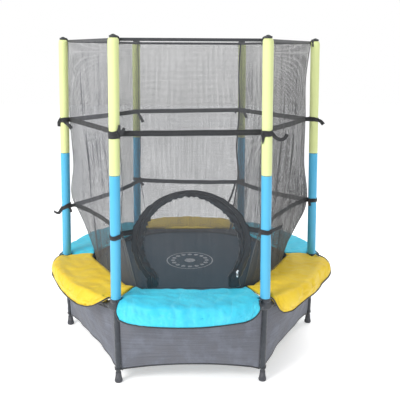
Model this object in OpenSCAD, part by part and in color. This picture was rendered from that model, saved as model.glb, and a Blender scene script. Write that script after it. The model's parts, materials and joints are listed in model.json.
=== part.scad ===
// Children's enclosed trampoline: six legs and leaning padded posts on a round ring, a sprung mat,
// six cover pads, a net with a zipped round door, and a mesh skirt round the legs.
// Millimetres. Origin on the floor under the centre of the mat, +Z up, the door faces -Y.

/* [Frame] */
// Radius from the centre to the axis of the ring, the legs and the feet of the posts
frame_r = 690; // [640:5:740]
// Height of the ring's axis above the floor
ring_z = 395; // [370:5:430]
// Outer diameter of the ring tube
ring_d = 28; // [26:1:30]
// Outer diameter of the leg and post tubes
tube_d = 22; // [20:1:25]
// Wall of every steel tube
wall = 1.5; // [1.2:0.1:2]
// Radius from the centre to the axis of the posts at their tops
post_top_r = 645; // [630:5:660]
// Overall height, to the top of the post caps
total_h = 1600; // [1500:10:1700]
// Height at which the lower and the upper half of each post meet
post_joint_z = 1004.5; // [950:0.5:1050]
// Outer diameter of the foam sleeves
foam_d = 47; // [42:1:50]

/* [Mat and springs] */
// Radius of the jumping mat
mat_r = 545; // [535:1:550]
// Height of the mat's top face
mat_z = 392; // [390:1:394]
// Thickness of the mat
mat_t = 3; // [2:0.5:4]
// Outer diameter of a spring barrel
spring_d = 16; // [12:1:18]
// Springs along each of the six sides
springs_per_side = 6; // [4:1:6]

/* [Cover pads] */
// Distance from the centre to the middle of a pad's inner edge
pad_inner = 508; // [506:1:515]
// Radius that rounds the corners of the pads' inner edge
pad_corner_r = 552; // [551:1:556]
// Radius to the outside of the hanging flap
pad_outer_r = 745; // [735:1:750]
// Height of a pad's top face
pad_z = 430; // [428:1:440]
// Thickness of a pad
pad_t = 14; // [8:1:15]
// Height of the flap's hem
pad_hem_z = 352; // [340:1:370]

/* [Net and door] */
// Distance from the centre to the middle of each net face at its hem
net_inner = 500; // [496:1:502]
// Height of the net's hem
net_hem_z = 396; // [395:1:398]
// Outward lean of the net faces below the upper straps, in degrees
net_lean = 3.3; // [2.8:0.1:3.5]
// Height at which the net faces turn in again
net_bend_z = 1200; // [1195:1:1210]
// Distance from the centre to the middle of each net face at its top
net_top_inner = 532.5; // [520:0.5:534]
// Height of the net's top edge
net_top_z = 1583; // [1550:1:1590]
// Thickness of the net and skirt cloth
cloth_t = 2; // [1.5:0.5:2.5]
// Radius of the zip's arc
zip_r = 250; // [230:1:255]
// Distance of the arc's centre up the net face from the hem
zip_centre = 270; // [260:1:280]
// Distance of the flap's hinge line up the net face from the hem
door_hinge = 43.5; // [43:0.5:60]
// Width of each half of the zip cover
zip_cover_w = 32; // [20:1:34]

/* [Straps and skirt] */
// Height of the middle of the lower straps
strap_low_z = 729; // [700:1:760]
// Height of the middle of the upper straps
strap_high_z = 1186; // [1180:1:1187]
// Width of the strap webbing
strap_w = 25; // [15:1:26]
// Height of the skirt's hem at the legs
skirt_hem_z = 60; // [56:1:90]
// Rise of the skirt's hem between the legs
skirt_arch = 25; // [0:1:60]

/* [Hidden] */
POSTS = ["right", "rear_right", "rear_left", "left", "front_left", "front_right"];
FACES = ["rear_right", "rear", "rear_left", "front_left", "front", "front_right"];
FRONT = 4;
PAD_COLOURS = ["deepskyblue", "gold"];
GROUPS = [
    "rubber_feet", "pole_caps", "frame_bolts", "frame_nuts",
    "jumping_mat", "mat_edge_band", "v_rings", "springs",
    "enclosure_net", "front_net_panel", "upper_straps", "lower_straps",
    "leg_skirt", "leg_sleeves",
    "door_flap", "door_flap_band", "door_zip_cover", "zip_slider"
];
$fn = 64;

tube_r = tube_d / 2;
ring_r = ring_d / 2;
// Inside and outside radius of the T-socket that joins two ring tubes to a leg
socket_in = ring_r + 0.3;
socket_out = ring_r + 3;
// Half angle that a T-socket covers, and the place of its bolts
socket_half = 3.5;
bolt_at = 2.3;
bolt_r = 3;
// Lean of the posts, from their feet at the ring to their tops
lean = atan((frame_r - post_top_r) / (total_h - ring_z));
post_len = (total_h - ring_z) / cos(lean);
joint_at = (post_joint_z - ring_z) / cos(lean);
post_foot = socket_out + 1;
plug_r = tube_r - wall - 0.2;
foam_in = tube_r + 0.4;
cap_h = 14;
cap_r = 15.5;
foot_h = 50;
foot_wall = 6;

spring_z = ring_z;
spring_in = 590;
spring_out = 655;
wire_r = 1.5;
hook_r = 566;
hook_drop = 11;
v_bar = 3;
v_base_r = mat_r + 4;
v_tip_r = v_base_r + 27;
v_half_w = 12;
v_z = mat_z - mat_t / 2;
band_w = 28;
band_t = 2;
loop_half_w = 7;

pad_bend = 45;
notch_r = foam_d / 2 + 4;
flap_gap = 50;

half_face = tan(30);
corner_gap = 2.5;
net_low_len = (net_bend_z - net_hem_z) / cos(net_lean) - 1;
net_bend_inner = net_inner + (net_bend_z - net_hem_z) * tan(net_lean);
net_top_lean = atan((net_bend_inner - net_top_inner) / (net_top_z - net_bend_z));
net_high_len = (net_top_z - net_bend_z) / cos(net_top_lean);
// The net's hem is shorter than its face, and the corner pieces fill what is left
hem_half = 176;
low_strap_up = (strap_low_z - net_hem_z) / cos(net_lean);
high_strap_up = (strap_high_z - net_hem_z) / cos(net_lean);
strap_t = 1.5;
strap_gap = 4;
tie_w = 20;
tail_len = 60;

door_gap = 1.5;
zip_sweep = 132;
zip_cover_t = 2.5;
leg_half = zip_r * cos(zip_sweep - 90);
leg_up = zip_centre - zip_r * sin(zip_sweep - 90);
slider_at = -32.5;
slider_lift = 0.6;

skirt_top_z = ring_z - socket_out - 2;
sleeve_in = tube_r + 0.6;
sleeve_out = sleeve_in + 2.6;
sleeve_bottom = 66;
skirt_clear = sleeve_out + 1;

// Places ------------------------------------------------------------------------------------

// Stands its children on the floor at a leg, with +X outward
module at_post(i) {
    rotate([0, 0, 60 * i])
        translate([frame_r, 0, 0])
            children();
}

// Stands its children on the ring at a post, with +Z along the leaning post
module on_post(i) {
    at_post(i)
        translate([0, 0, ring_z])
            rotate([0, -lean, 0])
                children();
}

// Turns its children to face out of a side, with X along the side and -Y outward
module at_face(k) {
    rotate([0, 0, 60 * k + 120])
        children();
}

// Lays its children on the lower net face: X along the face, Y up it, Z out of it
module on_low_net(k) {
    at_face(k)
        translate([0, -net_inner, net_hem_z])
            rotate([90 + net_lean, 0, 0])
                children();
}

// The same for the upper net face, whose lower edge is the bend
module on_high_net(k) {
    at_face(k)
        translate([0, -net_bend_inner, net_bend_z])
            rotate([90 - net_top_lean, 0, 0])
                children();
}

// Half width of a net face at a distance from the centre
function face_half(inner) = inner * half_face - corner_gap;
function low_half(up) = face_half(net_inner + up * sin(net_lean));

module tube(r, length, thickness) {
    difference() {
        cylinder(r = r, h = length);
        translate([0, 0, -1])
            cylinder(r = r - thickness, h = length + 2);
    }
}

// Frame -------------------------------------------------------------------------------------

// Holes on the inner side of the ring, one for each spring's hook
module hook_holes(k) {
    step = 60 / springs_per_side;
    for (j = [0 : springs_per_side - 1])
        rotate([0, 0, 60 * k + step * (j + 0.5)])
            translate([frame_r - ring_r - 3, 0, ring_z])
                rotate([0, 90, 0])
                    cylinder(r = 3.5, h = ring_r, $fn = 32);
}

// Holes through a T-socket and the two ring ends in it
module bolt_holes(i) {
    for (side = [-1, 1])
        rotate([0, 0, 60 * i + side * bolt_at])
            translate([frame_r - socket_out - 3, 0, ring_z])
                rotate([0, 90, 0])
                    cylinder(r = bolt_r + 0.3, h = 2 * socket_out + 6, $fn = 32);
}

module ring_tube(k) {
    color([0.16, 0.17, 0.18])
    difference() {
        rotate([0, 0, 60 * k + 0.4])
            translate([0, 0, ring_z])
                rotate_extrude(angle = 59.2, $fn = 180)
                    translate([frame_r, 0])
                        difference() {
                            circle(r = ring_r);
                            circle(r = ring_r - wall);
                        }
        hook_holes(k);
        bolt_holes(k);
        bolt_holes(k + 1);
    }
}

// One leg with its T-socket and the spigot that the post stands on
module leg(i) {
    color([0.2, 0.21, 0.23])
    difference() {
        union() {
            rotate([0, 0, 60 * i - socket_half])
                translate([0, 0, ring_z])
                    rotate_extrude(angle = 2 * socket_half, $fn = 180)
                        translate([frame_r, 0])
                            circle(r = socket_out);
            at_post(i)
                translate([0, 0, foot_wall])
                    cylinder(r = tube_r, h = ring_z - foot_wall);
            on_post(i)
                cylinder(r = plug_r, h = 75);
        }
        rotate([0, 0, 60 * i - 5])
            translate([0, 0, ring_z])
                rotate_extrude(angle = 10, $fn = 180)
                    translate([frame_r, 0])
                        circle(r = socket_in);
        at_post(i)
            translate([0, 0, foot_wall - 1])
                cylinder(r = tube_r - wall, h = ring_z - foot_wall);
        on_post(i)
            cylinder(r = plug_r - wall, h = 80);
        bolt_holes(i);
    }
}

module lower_pole(i) {
    color("silver")
    on_post(i)
        translate([0, 0, post_foot])
            tube(tube_r, joint_at - post_foot - 0.5, wall);
}

// The upper half of a post, with the narrowed end that enters the lower half
module upper_pole(i) {
    color("silver")
    on_post(i)
        difference() {
            union() {
                translate([0, 0, joint_at])
                    cylinder(r = tube_r, h = post_len - cap_h - 0.5 - joint_at);
                translate([0, 0, joint_at - 55])
                    cylinder(r = plug_r, h = 60);
            }
            translate([0, 0, joint_at - 60])
                cylinder(r = plug_r - wall, h = 70);
            translate([0, 0, joint_at + 5])
                cylinder(r = tube_r - wall, h = post_len);
        }
}

module lower_foam(i) {
    color([0.42, 0.82, 0.98])
    on_post(i)
        translate([0, 0, post_foot])
            tube(foam_d / 2, joint_at - post_foot - 0.5, foam_d / 2 - foam_in);
}

module upper_foam(i) {
    color([0.9, 0.94, 0.66])
    on_post(i)
        translate([0, 0, joint_at])
            tube(foam_d / 2, post_len - cap_h - 1 - joint_at, foam_d / 2 - foam_in);
}

// Domed plugs that close the posts
module pole_caps() {
    color([0.12, 0.12, 0.13])
    for (i = [0 : 5])
        on_post(i)
            translate([0, 0, post_len - cap_h])
                union() {
                    rotate_extrude()
                        polygon(concat([[0, 0]], [for (a = [0 : 10 : 90]) [cap_r * cos(a), cap_h * sin(a)]]));
                    translate([0, 0, -25])
                        cylinder(r = plug_r, h = 26);
                }
}

// Bell-shaped feet, closed below, with a socket for the leg
module rubber_feet() {
    bell = [[0, 0], [15, 0], [18, 2], [19, 6], [18.5, 12], [16.5, 20], [14.5, 32], [13.5, 42], [13.2, 50]];
    color([0.25, 0.25, 0.27])
    for (i = [0 : 5])
        at_post(i)
            difference() {
                rotate_extrude()
                    polygon(concat(bell, [[0, foot_h]]));
                translate([0, 0, foot_wall])
                    cylinder(r = tube_r + 0.1, h = foot_h);
            }
}

// Round-headed bolts from outside through each T-socket and ring end
module frame_bolts() {
    head_t = 3.5;
    color([0.55, 0.56, 0.58])
    for (i = [0 : 5], side = [-1, 1])
        rotate([0, 0, 60 * i + side * bolt_at])
            translate([frame_r, 0, ring_z])
                rotate([0, 90, 0])
                    union() {
                        translate([0, 0, socket_out])
                            cylinder(r1 = 6, r2 = 4, h = head_t);
                        translate([0, 0, -socket_out - 7])
                            cylinder(r = bolt_r, h = 2 * socket_out + 8);
                    }
}

module frame_nuts() {
    color([0.6, 0.61, 0.63])
    for (i = [0 : 5], side = [-1, 1])
        rotate([0, 0, 60 * i + side * bolt_at])
            translate([frame_r - socket_out - 5.5, 0, ring_z])
                rotate([0, 90, 0])
                    difference() {
                        cylinder(r = 5.8, h = 5, $fn = 6);
                        translate([0, 0, -1])
                            cylinder(r = bolt_r + 0.1, h = 8, $fn = 32);
                    }
}

// Mat and springs ---------------------------------------------------------------------------

module jumping_mat() {
    color([0.2, 0.22, 0.25])
    translate([0, 0, mat_z - mat_t])
        cylinder(r = mat_r, h = mat_t, $fn = 180);
}

// Places its children at each spring, with +X outward
module at_springs() {
    step = 60 / springs_per_side;
    for (a = [step / 2 : step : 360])
        rotate([0, 0, a])
            children();
}

// Webbing sewn under the mat's edge, with a loop for each V-ring
module mat_edge_band() {
    color([0.15, 0.17, 0.22])
    difference() {
        union() {
            translate([0, 0, mat_z - mat_t - band_t])
                difference() {
                    cylinder(r = mat_r + 1, h = band_t, $fn = 180);
                    translate([0, 0, -1])
                        cylinder(r = mat_r - band_w, h = band_t + 2, $fn = 180);
                }
            at_springs()
                translate([mat_r + 0.2, -loop_half_w, mat_z - mat_t - band_t])
                    cube([9, 2 * loop_half_w, 7]);
        }
        at_springs()
            translate([v_base_r, -loop_half_w - 1, v_z])
                rotate([-90, 0, 0])
                    cylinder(r = v_bar * 0.8, h = 2 * loop_half_w + 2, $fn = 24);
    }
}

// A straight round wire between two points at one height
module flat_wire(a, b, r) {
    d = b - a;
    translate([a[0], a[1], 0])
        rotate([0, 0, atan2(d[1], d[0])])
            rotate([0, 90, 0])
                cylinder(r = r, h = norm(d), $fn = 24);
}

// A flat bar with round ends between two points
module flat_bar(a, b, w) {
    d = b - a;
    translate(a)
        rotate(atan2(d[1], d[0]))
            union() {
                translate([0, -w / 2])
                    square([norm(d), w]);
                circle(r = w / 2, $fn = 24);
                translate([norm(d), 0])
                    circle(r = w / 2, $fn = 24);
            }
}

// Three-sided rings that hang from the mat's loops, each with a spring's hook in its tip
module v_rings() {
    base = [[v_base_r, -v_half_w], [v_base_r, v_half_w]];
    tip = [v_tip_r, 0];
    color("silver")
    at_springs()
        translate([0, 0, v_z - v_bar / 2])
            linear_extrude(v_bar)
                union() {
                    flat_bar(base[0], base[1], v_bar);
                    flat_bar(base[0], tip, v_bar);
                    flat_bar(base[1], tip, v_bar);
                }
}

// A spring barrel with a cross wire and a hook at each end
module springs() {
    ring_hook_r = frame_r - 6;
    color("silver")
    at_springs()
        translate([0, 0, spring_z])
            union() {
                translate([spring_in, 0, 0])
                    rotate([0, 90, 0])
                        tube(spring_d / 2, spring_out - spring_in, 2.2);
                for (x = [spring_in + wire_r, spring_out - wire_r])
                    translate([x, 0, -spring_d / 2 + 1])
                        cylinder(r = wire_r, h = spring_d - 2, $fn = 24);
                flat_wire([hook_r, 0], [spring_in + wire_r, 0], wire_r);
                translate([hook_r, 0, -hook_drop])
                    cylinder(r = wire_r, h = hook_drop + wire_r, $fn = 24);
                flat_wire([spring_out - wire_r, 0], [ring_hook_r, 0], wire_r);
                translate([ring_hook_r, 0, -wire_r])
                    cylinder(r = wire_r, h = 9, $fn = 24);
            }
}

// Cover pads --------------------------------------------------------------------------------

// Section of a pad: a flat top, a rounded shoulder and a hanging flap
module pad_section() {
    shoulder = [pad_outer_r - pad_bend, pad_z - pad_bend];
    outer = [for (a = [90 : -10 : 0]) shoulder + pad_bend * [cos(a), sin(a)]];
    inner = [for (a = [0 : 10 : 90]) shoulder + (pad_bend - pad_t) * [cos(a), sin(a)]];
    polygon(concat(
        [[pad_inner, pad_z - pad_t], [pad_inner, pad_z - 4], [pad_inner + 4, pad_z]],
        outer,
        [[pad_outer_r, pad_hem_z], [pad_outer_r - pad_t, pad_hem_z]],
        inner
    ));
}

module pad(k) {
    color(PAD_COLOURS[k % 2])
    difference() {
        rotate([0, 0, 60 * k + 0.25])
            rotate_extrude(angle = 59.5, $fn = 180)
                pad_section();
        intersection() {
            cylinder(r = pad_corner_r, h = total_h, $fn = 180);
            at_face(k)
                translate([-frame_r, -pad_inner, 0])
                    cube([2 * frame_r, frame_r, total_h]);
        }
        for (i = [k, k + 1]) {
            at_post(i)
                cylinder(r = notch_r, h = total_h);
            at_post(i)
                translate([socket_out + 5, -flap_gap, 0])
                    cube([100, 2 * flap_gap, total_h]);
        }
    }
}

// Net and door ------------------------------------------------------------------------------

module low_face_outline() {
    polygon([
        [-hem_half, 0],
        [hem_half, 0],
        [low_half(low_strap_up), low_strap_up],
        [low_half(net_low_len), net_low_len],
        [-low_half(net_low_len), net_low_len],
        [-low_half(low_strap_up), low_strap_up]
    ]);
}

module high_net_plate(k) {
    bottom = face_half(net_bend_inner);
    top = face_half(net_top_inner);
    on_high_net(k)
        translate([0, 0, -cloth_t])
            linear_extrude(cloth_t)
                polygon([[-bottom, 1], [bottom, 1], [top, net_high_len], [-top, net_high_len]]);
}

// The three-sided piece that gathers the net in from a post to the hem
module corner_gusset(i) {
    hem_r = norm([net_inner, hem_half]);
    spread = atan(net_inner / hem_half) - 60;
    foot = hem_r * cos(30 - 30 + spread);
    half = hem_r * sin(spread) - corner_gap;
    tip_r = (net_inner + low_strap_up * sin(net_lean)) / cos(30);
    rise = strap_low_z - net_hem_z;
    tilt = atan((tip_r - foot) / rise);
    rotate([0, 0, 60 * i + 90])
        translate([0, -foot, net_hem_z])
            rotate([90 + tilt, 0, 0])
                translate([0, 0, -cloth_t])
                    linear_extrude(cloth_t)
                        polygon([[-half, 0], [half, 0], [0, rise / cos(tilt) - 9]]);
}

// Net on all sides above the bend, on five sides below it, and in the six corners
module enclosure_net() {
    color([0.62, 0.64, 0.66, 0.6]) {
        for (k = [0 : 5])
            high_net_plate(k);
        for (k = [0 : 5])
            if (k != FRONT)
                on_low_net(k)
                    translate([0, 0, -cloth_t])
                        linear_extrude(cloth_t)
                            low_face_outline();
        for (i = [0 : 5])
            corner_gusset(i);
    }
}

// Outline of the doorway at a distance outside the zip, open below the hinge line
module door_outline(grow) {
    union() {
        translate([0, zip_centre])
            circle(r = zip_r + grow, $fn = 128);
        translate([-leg_half - grow, 0])
            square([2 * (leg_half + grow), leg_up + 5]);
    }
}

// Keeps the part of its children above a line up the net face
module above(up) {
    intersection() {
        children();
        translate([-frame_r, up])
            square([2 * frame_r, total_h]);
    }
}

module front_net_panel() {
    color([0.66, 0.68, 0.7, 0.6])
    on_low_net(FRONT)
        translate([0, 0, -cloth_t])
            linear_extrude(cloth_t)
                difference() {
                    low_face_outline();
                    above(door_hinge - door_gap)
                        door_outline(door_gap);
                }
}

module door_flap() {
    color([0.7, 0.72, 0.74, 0.6])
    on_low_net(FRONT)
        translate([0, 0, -cloth_t])
            linear_extrude(cloth_t)
                above(door_hinge + door_gap)
                    door_outline(-door_gap);
}

// The half of the zip cover that is sewn to the net round the doorway
module door_zip_cover() {
    color([0.2, 0.24, 0.28])
    on_low_net(FRONT)
        linear_extrude(zip_cover_t)
            above(3)
                difference() {
                    door_outline(zip_cover_w);
                    door_outline(door_gap);
                }
}

// The half of the zip cover that swings with the flap
module door_flap_band() {
    color([0.24, 0.28, 0.32])
    on_low_net(FRONT)
        linear_extrude(zip_cover_t)
            above(door_hinge + door_gap + 1)
                difference() {
                    door_outline(-door_gap);
                    door_outline(-zip_cover_w);
                }
}

// Slider on the fixed side of the zip, with its pull hanging down
module zip_slider() {
    path_r = zip_r + 12;
    color("white")
    on_low_net(FRONT)
        translate([path_r * cos(slider_at), zip_centre + path_r * sin(slider_at), zip_cover_t + slider_lift])
            union() {
                rotate([0, 0, slider_at])
                    translate([-5, -8, 0])
                        linear_extrude(4)
                            square([10, 16]);
                translate([-4, -30, 1.5])
                    linear_extrude(2)
                        union() {
                            square([8, 30]);
                            translate([4, 0])
                                circle(r = 4, $fn = 32);
                        }
            }
}

// Straps ------------------------------------------------------------------------------------

module strap(k, up, from, to) {
    on_low_net(k)
        translate([from, up - strap_w / 2, 0])
            cube([to - from, strap_w, strap_t]);
}

// Webbing loop round a foam sleeve with a loose tail on one side
module post_tie(i, z, side) {
    loop_in = foam_d / 2 + 0.4;
    loop_out = loop_in + strap_t;
    along = (z - ring_z) / cos(lean);
    on_post(i)
        translate([0, 0, along - tie_w / 2])
            union() {
                tube(loop_out, tie_w, strap_t);
                rotate([0, 0, side * 115])
                    translate([loop_in + 0.2, -tie_w / 3, -tail_len])
                        cube([strap_t, 2 * tie_w / 3, tail_len + tie_w / 2]);
            }
}

// Webbing that joins a net corner to the loop on its post
module tie_link(i, z, from) {
    post_r = frame_r - (z - ring_z) * tan(lean);
    to = post_r - foam_d / 2 - 1;
    rotate([0, 0, 60 * i])
        translate([from, -strap_t / 2, z - tie_w / 2])
            cube([to - from, strap_t, tie_w]);
}

module upper_straps() {
    half = low_half(high_strap_up) - strap_gap;
    color([0.1, 0.1, 0.11]) {
        for (k = [0 : 5])
            strap(k, high_strap_up, -half, half);
        for (i = [0 : 5])
            post_tie(i, strap_high_z, i % 2 == 0 ? 1 : -1);
    }
}

// The front face has short straps only, from the posts to the zip cover
module lower_straps() {
    half = low_half(low_strap_up) - strap_gap;
    door_half = sqrt(pow(zip_r + zip_cover_w, 2) - pow(low_strap_up - zip_centre - strap_w / 2, 2));
    corner_r = (net_inner + low_strap_up * sin(net_lean)) / cos(30);
    color([0.1, 0.1, 0.11]) {
        for (k = [0 : 5])
            if (k != FRONT)
                strap(k, low_strap_up, -half, half);
        for (side = [-1, 1])
            strap(FRONT, low_strap_up, side > 0 ? door_half + 1 : -half, side > 0 ? half : -door_half - 1);
        for (i = [0 : 5]) {
            union() {
                post_tie(i, strap_low_z, i % 2 == 0 ? -1 : 1);
                tie_link(i, strap_low_z, corner_r + 4);
            }
        }
    }
}

// Skirt -------------------------------------------------------------------------------------

SKIRT_COLS = 16;
SKIRT_ROWS = 4;
skirt_turn = 30 - asin(skirt_clear / frame_r);
skirt_half = frame_r / 2 - skirt_clear;

// A point of a skirt panel: u from -1 to 1 along it, v from 0 at the hem to 1 at the ring
function skirt_point(u, v, depth) =
    let (hem = [u * skirt_half, -frame_r * cos(30) + depth, skirt_hem_z + skirt_arch * (1 - u * u)])
    let (top = [
        (frame_r - depth) * sin(u * skirt_turn),
        -(frame_r - depth) * cos(u * skirt_turn),
        skirt_top_z
    ])
    hem + v * (top - hem);

function skirt_index(side, row, col) = (side * (SKIRT_ROWS + 1) + row) * (SKIRT_COLS + 1) + col;

function quad(a, b, c, d) = [[a, b, c], [a, c, d]];

module skirt_panel() {
    points = [
        for (depth = [0, cloth_t], row = [0 : SKIRT_ROWS], col = [0 : SKIRT_COLS])
            skirt_point(2 * col / SKIRT_COLS - 1, row / SKIRT_ROWS, depth)
    ];
    outer = [
        for (r = [0 : SKIRT_ROWS - 1], c = [0 : SKIRT_COLS - 1])
            each quad(skirt_index(0, r, c), skirt_index(0, r + 1, c), skirt_index(0, r + 1, c + 1), skirt_index(0, r, c + 1))
    ];
    inner = [
        for (r = [0 : SKIRT_ROWS - 1], c = [0 : SKIRT_COLS - 1])
            each quad(skirt_index(1, r, c), skirt_index(1, r, c + 1), skirt_index(1, r + 1, c + 1), skirt_index(1, r + 1, c))
    ];
    hems = [
        for (c = [0 : SKIRT_COLS - 1])
            each concat(
                quad(skirt_index(0, 0, c), skirt_index(0, 0, c + 1), skirt_index(1, 0, c + 1), skirt_index(1, 0, c)),
                quad(
                    skirt_index(0, SKIRT_ROWS, c), skirt_index(1, SKIRT_ROWS, c),
                    skirt_index(1, SKIRT_ROWS, c + 1), skirt_index(0, SKIRT_ROWS, c + 1)
                )
            )
    ];
    ends = [
        for (r = [0 : SKIRT_ROWS - 1])
            each concat(
                quad(skirt_index(0, r, 0), skirt_index(1, r, 0), skirt_index(1, r + 1, 0), skirt_index(0, r + 1, 0)),
                quad(
                    skirt_index(0, r, SKIRT_COLS), skirt_index(0, r + 1, SKIRT_COLS),
                    skirt_index(1, r + 1, SKIRT_COLS), skirt_index(1, r, SKIRT_COLS)
                )
            )
    ];
    polyhedron(points, concat(outer, inner, hems, ends));
}

module leg_skirt() {
    color([0.48, 0.49, 0.52])
    for (k = [0 : 5])
        at_face(k)
            skirt_panel();
}

// Dark cloth sleeves that hold the skirt to the legs
module leg_sleeves() {
    color([0.3, 0.33, 0.37])
    for (i = [0 : 5])
        at_post(i)
            translate([0, 0, sleeve_bottom])
                tube(sleeve_out, skirt_top_z - sleeve_bottom, sleeve_out - sleeve_in);
}

// Nodes -------------------------------------------------------------------------------------

for (k = [0 : 5]) ring_tube(k);
for (i = [0 : 5]) leg(i);
for (i = [0 : 5]) lower_pole(i);
for (i = [0 : 5]) upper_pole(i);
for (i = [0 : 5]) lower_foam(i);
for (i = [0 : 5]) upper_foam(i);
for (k = [0 : 5]) pad(k);
rubber_feet();
pole_caps();
frame_bolts();
frame_nuts();
jumping_mat();
mat_edge_band();
v_rings();
springs();
enclosure_net();
front_net_panel();
upper_straps();
lower_straps();
leg_skirt();
leg_sleeves();
door_flap();
door_flap_band();
door_zip_cover();
zip_slider();
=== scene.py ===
"""Looks of the enclosed trampoline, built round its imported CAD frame. Metres, +Z up, the door faces -Y."""
import json
import math
import random

import bpy
import numpy as np
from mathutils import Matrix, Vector


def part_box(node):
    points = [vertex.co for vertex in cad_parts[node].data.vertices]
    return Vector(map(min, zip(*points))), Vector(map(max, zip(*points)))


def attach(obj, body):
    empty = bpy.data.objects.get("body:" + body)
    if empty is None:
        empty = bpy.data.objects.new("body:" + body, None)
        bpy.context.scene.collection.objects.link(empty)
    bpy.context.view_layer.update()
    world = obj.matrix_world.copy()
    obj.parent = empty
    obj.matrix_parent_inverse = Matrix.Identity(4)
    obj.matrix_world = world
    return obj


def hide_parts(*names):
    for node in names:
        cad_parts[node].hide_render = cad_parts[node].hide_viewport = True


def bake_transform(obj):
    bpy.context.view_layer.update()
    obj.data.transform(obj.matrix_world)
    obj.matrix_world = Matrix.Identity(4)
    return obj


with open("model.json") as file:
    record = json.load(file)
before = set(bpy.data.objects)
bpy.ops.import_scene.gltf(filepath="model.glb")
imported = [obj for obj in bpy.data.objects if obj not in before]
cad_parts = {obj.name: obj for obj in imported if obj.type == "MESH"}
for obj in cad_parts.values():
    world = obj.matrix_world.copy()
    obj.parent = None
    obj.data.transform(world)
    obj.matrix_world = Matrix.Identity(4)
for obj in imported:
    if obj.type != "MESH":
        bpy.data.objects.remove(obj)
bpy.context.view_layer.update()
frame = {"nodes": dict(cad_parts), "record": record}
RECORD = frame["record"]

# Places ------------------------------------------------------------------------------------

POSTS = ["right", "rear_right", "rear_left", "left", "front_left", "front_right"]
FACES = ["rear_right", "rear", "rear_left", "front_left", "front", "front_right"]
FRONT = 4
SIX = range(6)

FEET = {m["name"][5:]: m["pos_m"] for m in RECORD["mounts"]}
FRAME_R = FEET["right"][0]
RING_LOW, RING_HIGH = (c.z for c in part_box("ring_tube_front"))
RING_Z = (RING_LOW + RING_HIGH) / 2
TOTAL_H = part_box("pole_caps")[1].z
# The posts lean in from the feet's circle to this one at their tops
POST_TOP_R = 0.645
LEAN = (FRAME_R - POST_TOP_R) / (TOTAL_H - RING_Z)
FOAM_R = (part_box("lower_foam_left")[1].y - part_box("lower_foam_left")[0].y) / 2
FOAM_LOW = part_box("lower_foam_left")[0].z + 0.001
FOAM_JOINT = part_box("upper_foam_left")[0].z + 0.001
FOAM_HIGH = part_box("upper_foam_left")[1].z - 0.001
CAP_R = (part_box("pole_caps")[1].x - POST_TOP_R) * 0.97

MAT_LOW, MAT_HIGH = (c.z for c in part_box("jumping_mat"))
MAT_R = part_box("jumping_mat")[1].x
MAT_BORDER = 0.033
PAD_HEM, PAD_TOP = (c.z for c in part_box("pad_front"))
PAD_OUT, PAD_IN = (-c.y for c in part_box("pad_front"))
# The inner edges of the pads meet at this distance from the centre
PAD_CORNER_R = 0.535

NET_LOW, NET_HIGH = (c.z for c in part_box("enclosure_net"))
# Distance of a face's middle from the centre at its hem, and its lean outward above that
NET_IN = 0.500
NET_LEAN = math.radians(3.3)
STRAP_LOW = 0.729
STRAP_HIGH = 1.186
STRAP_W = 0.025
STRAP_T = 0.0016
# The doorway: an arc round a point DOOR_UP above the net's hem, down to DOOR_SPREAD below level on both
# sides, and from there two straight legs down to the fold at HINGE_UP
DOOR_R = 0.250
DOOR_UP = 0.270
DOOR_SPREAD = math.radians(42)
DOOR_LEG_X = DOOR_R * math.cos(DOOR_SPREAD)
DOOR_LEG_UP = DOOR_UP - DOOR_R * math.sin(DOOR_SPREAD)
HINGE_UP = 0.0435
# The slider's place on the arc at rest
SLIDER_AT = math.radians(-32.5)

UP = np.array([0.0, 0.0, 1.0])


def polar(degrees, r, z=0.0):
    """The point at a bearing, a distance from the centre and a height."""
    a = math.radians(degrees)
    return np.array([r * math.cos(a), r * math.sin(a), z])


def axes_at(degrees):
    """The directions outward and along the ring, at an angle round it."""
    return polar(degrees, 1.0), polar(degrees + 90, 1.0)


def round_angles(count):
    return np.linspace(0, 2 * math.pi, count, endpoint=False)


def ellipse(centre, x, y, wide, high, count):
    """Points evenly round an ellipse, on directions x and y with its two half sizes."""
    a = round_angles(count)[:, None]
    return centre + x * wide * np.cos(a) + y * high * np.sin(a)


def twist(centre, x, y, z, sizes, count):
    """The path of a small knot: a loop with a twist in it, on three directions with its half sizes."""
    a = np.linspace(0, 2 * math.pi, count)[:, None]
    return centre + x * sizes[0] * np.cos(a) + y * sizes[1] * np.sin(a) + z * sizes[2] * np.sin(2 * a)


def on_face(k, x, out, z):
    """Points at distance out from the centre towards face k, x along it and z up."""
    a = math.radians(60 * k + 30)
    return np.stack([out * math.cos(a) - x * math.sin(a), out * math.sin(a) + x * math.cos(a), z + 0 * x], -1)


def post_at(i, z):
    """The axis of post i at a height."""
    return polar(60 * i, FRAME_R - max(0.0, z - RING_Z) * LEAN, z)


def smooth(x, low, high):
    """Rises softly from 0 at low to 1 at high, which may be the lower of the two."""
    t = np.clip((x - low) / (high - low), 0.0, 1.0)
    return t * t * (3 - 2 * t)


def through(x, xs, ys):
    """A smooth curve through a few points, with no overshoot of note."""
    xs, ys = np.asarray(xs, float), np.asarray(ys, float)
    slope = np.gradient(ys, xs)
    i = np.clip(np.searchsorted(xs, x) - 1, 0, len(xs) - 2)
    h = xs[i + 1] - xs[i]
    t = np.clip((x - xs[i]) / h, 0, 1)
    a, b = (1 + 2 * t) * (1 - t) ** 2, t * t * (3 - 2 * t)
    c, d = t * (1 - t) ** 2 * h, t * t * (t - 1) * h
    return a * ys[i] + b * ys[i + 1] + c * slope[i] + d * slope[i + 1]


# Meshes ------------------------------------------------------------------------------------


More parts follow.
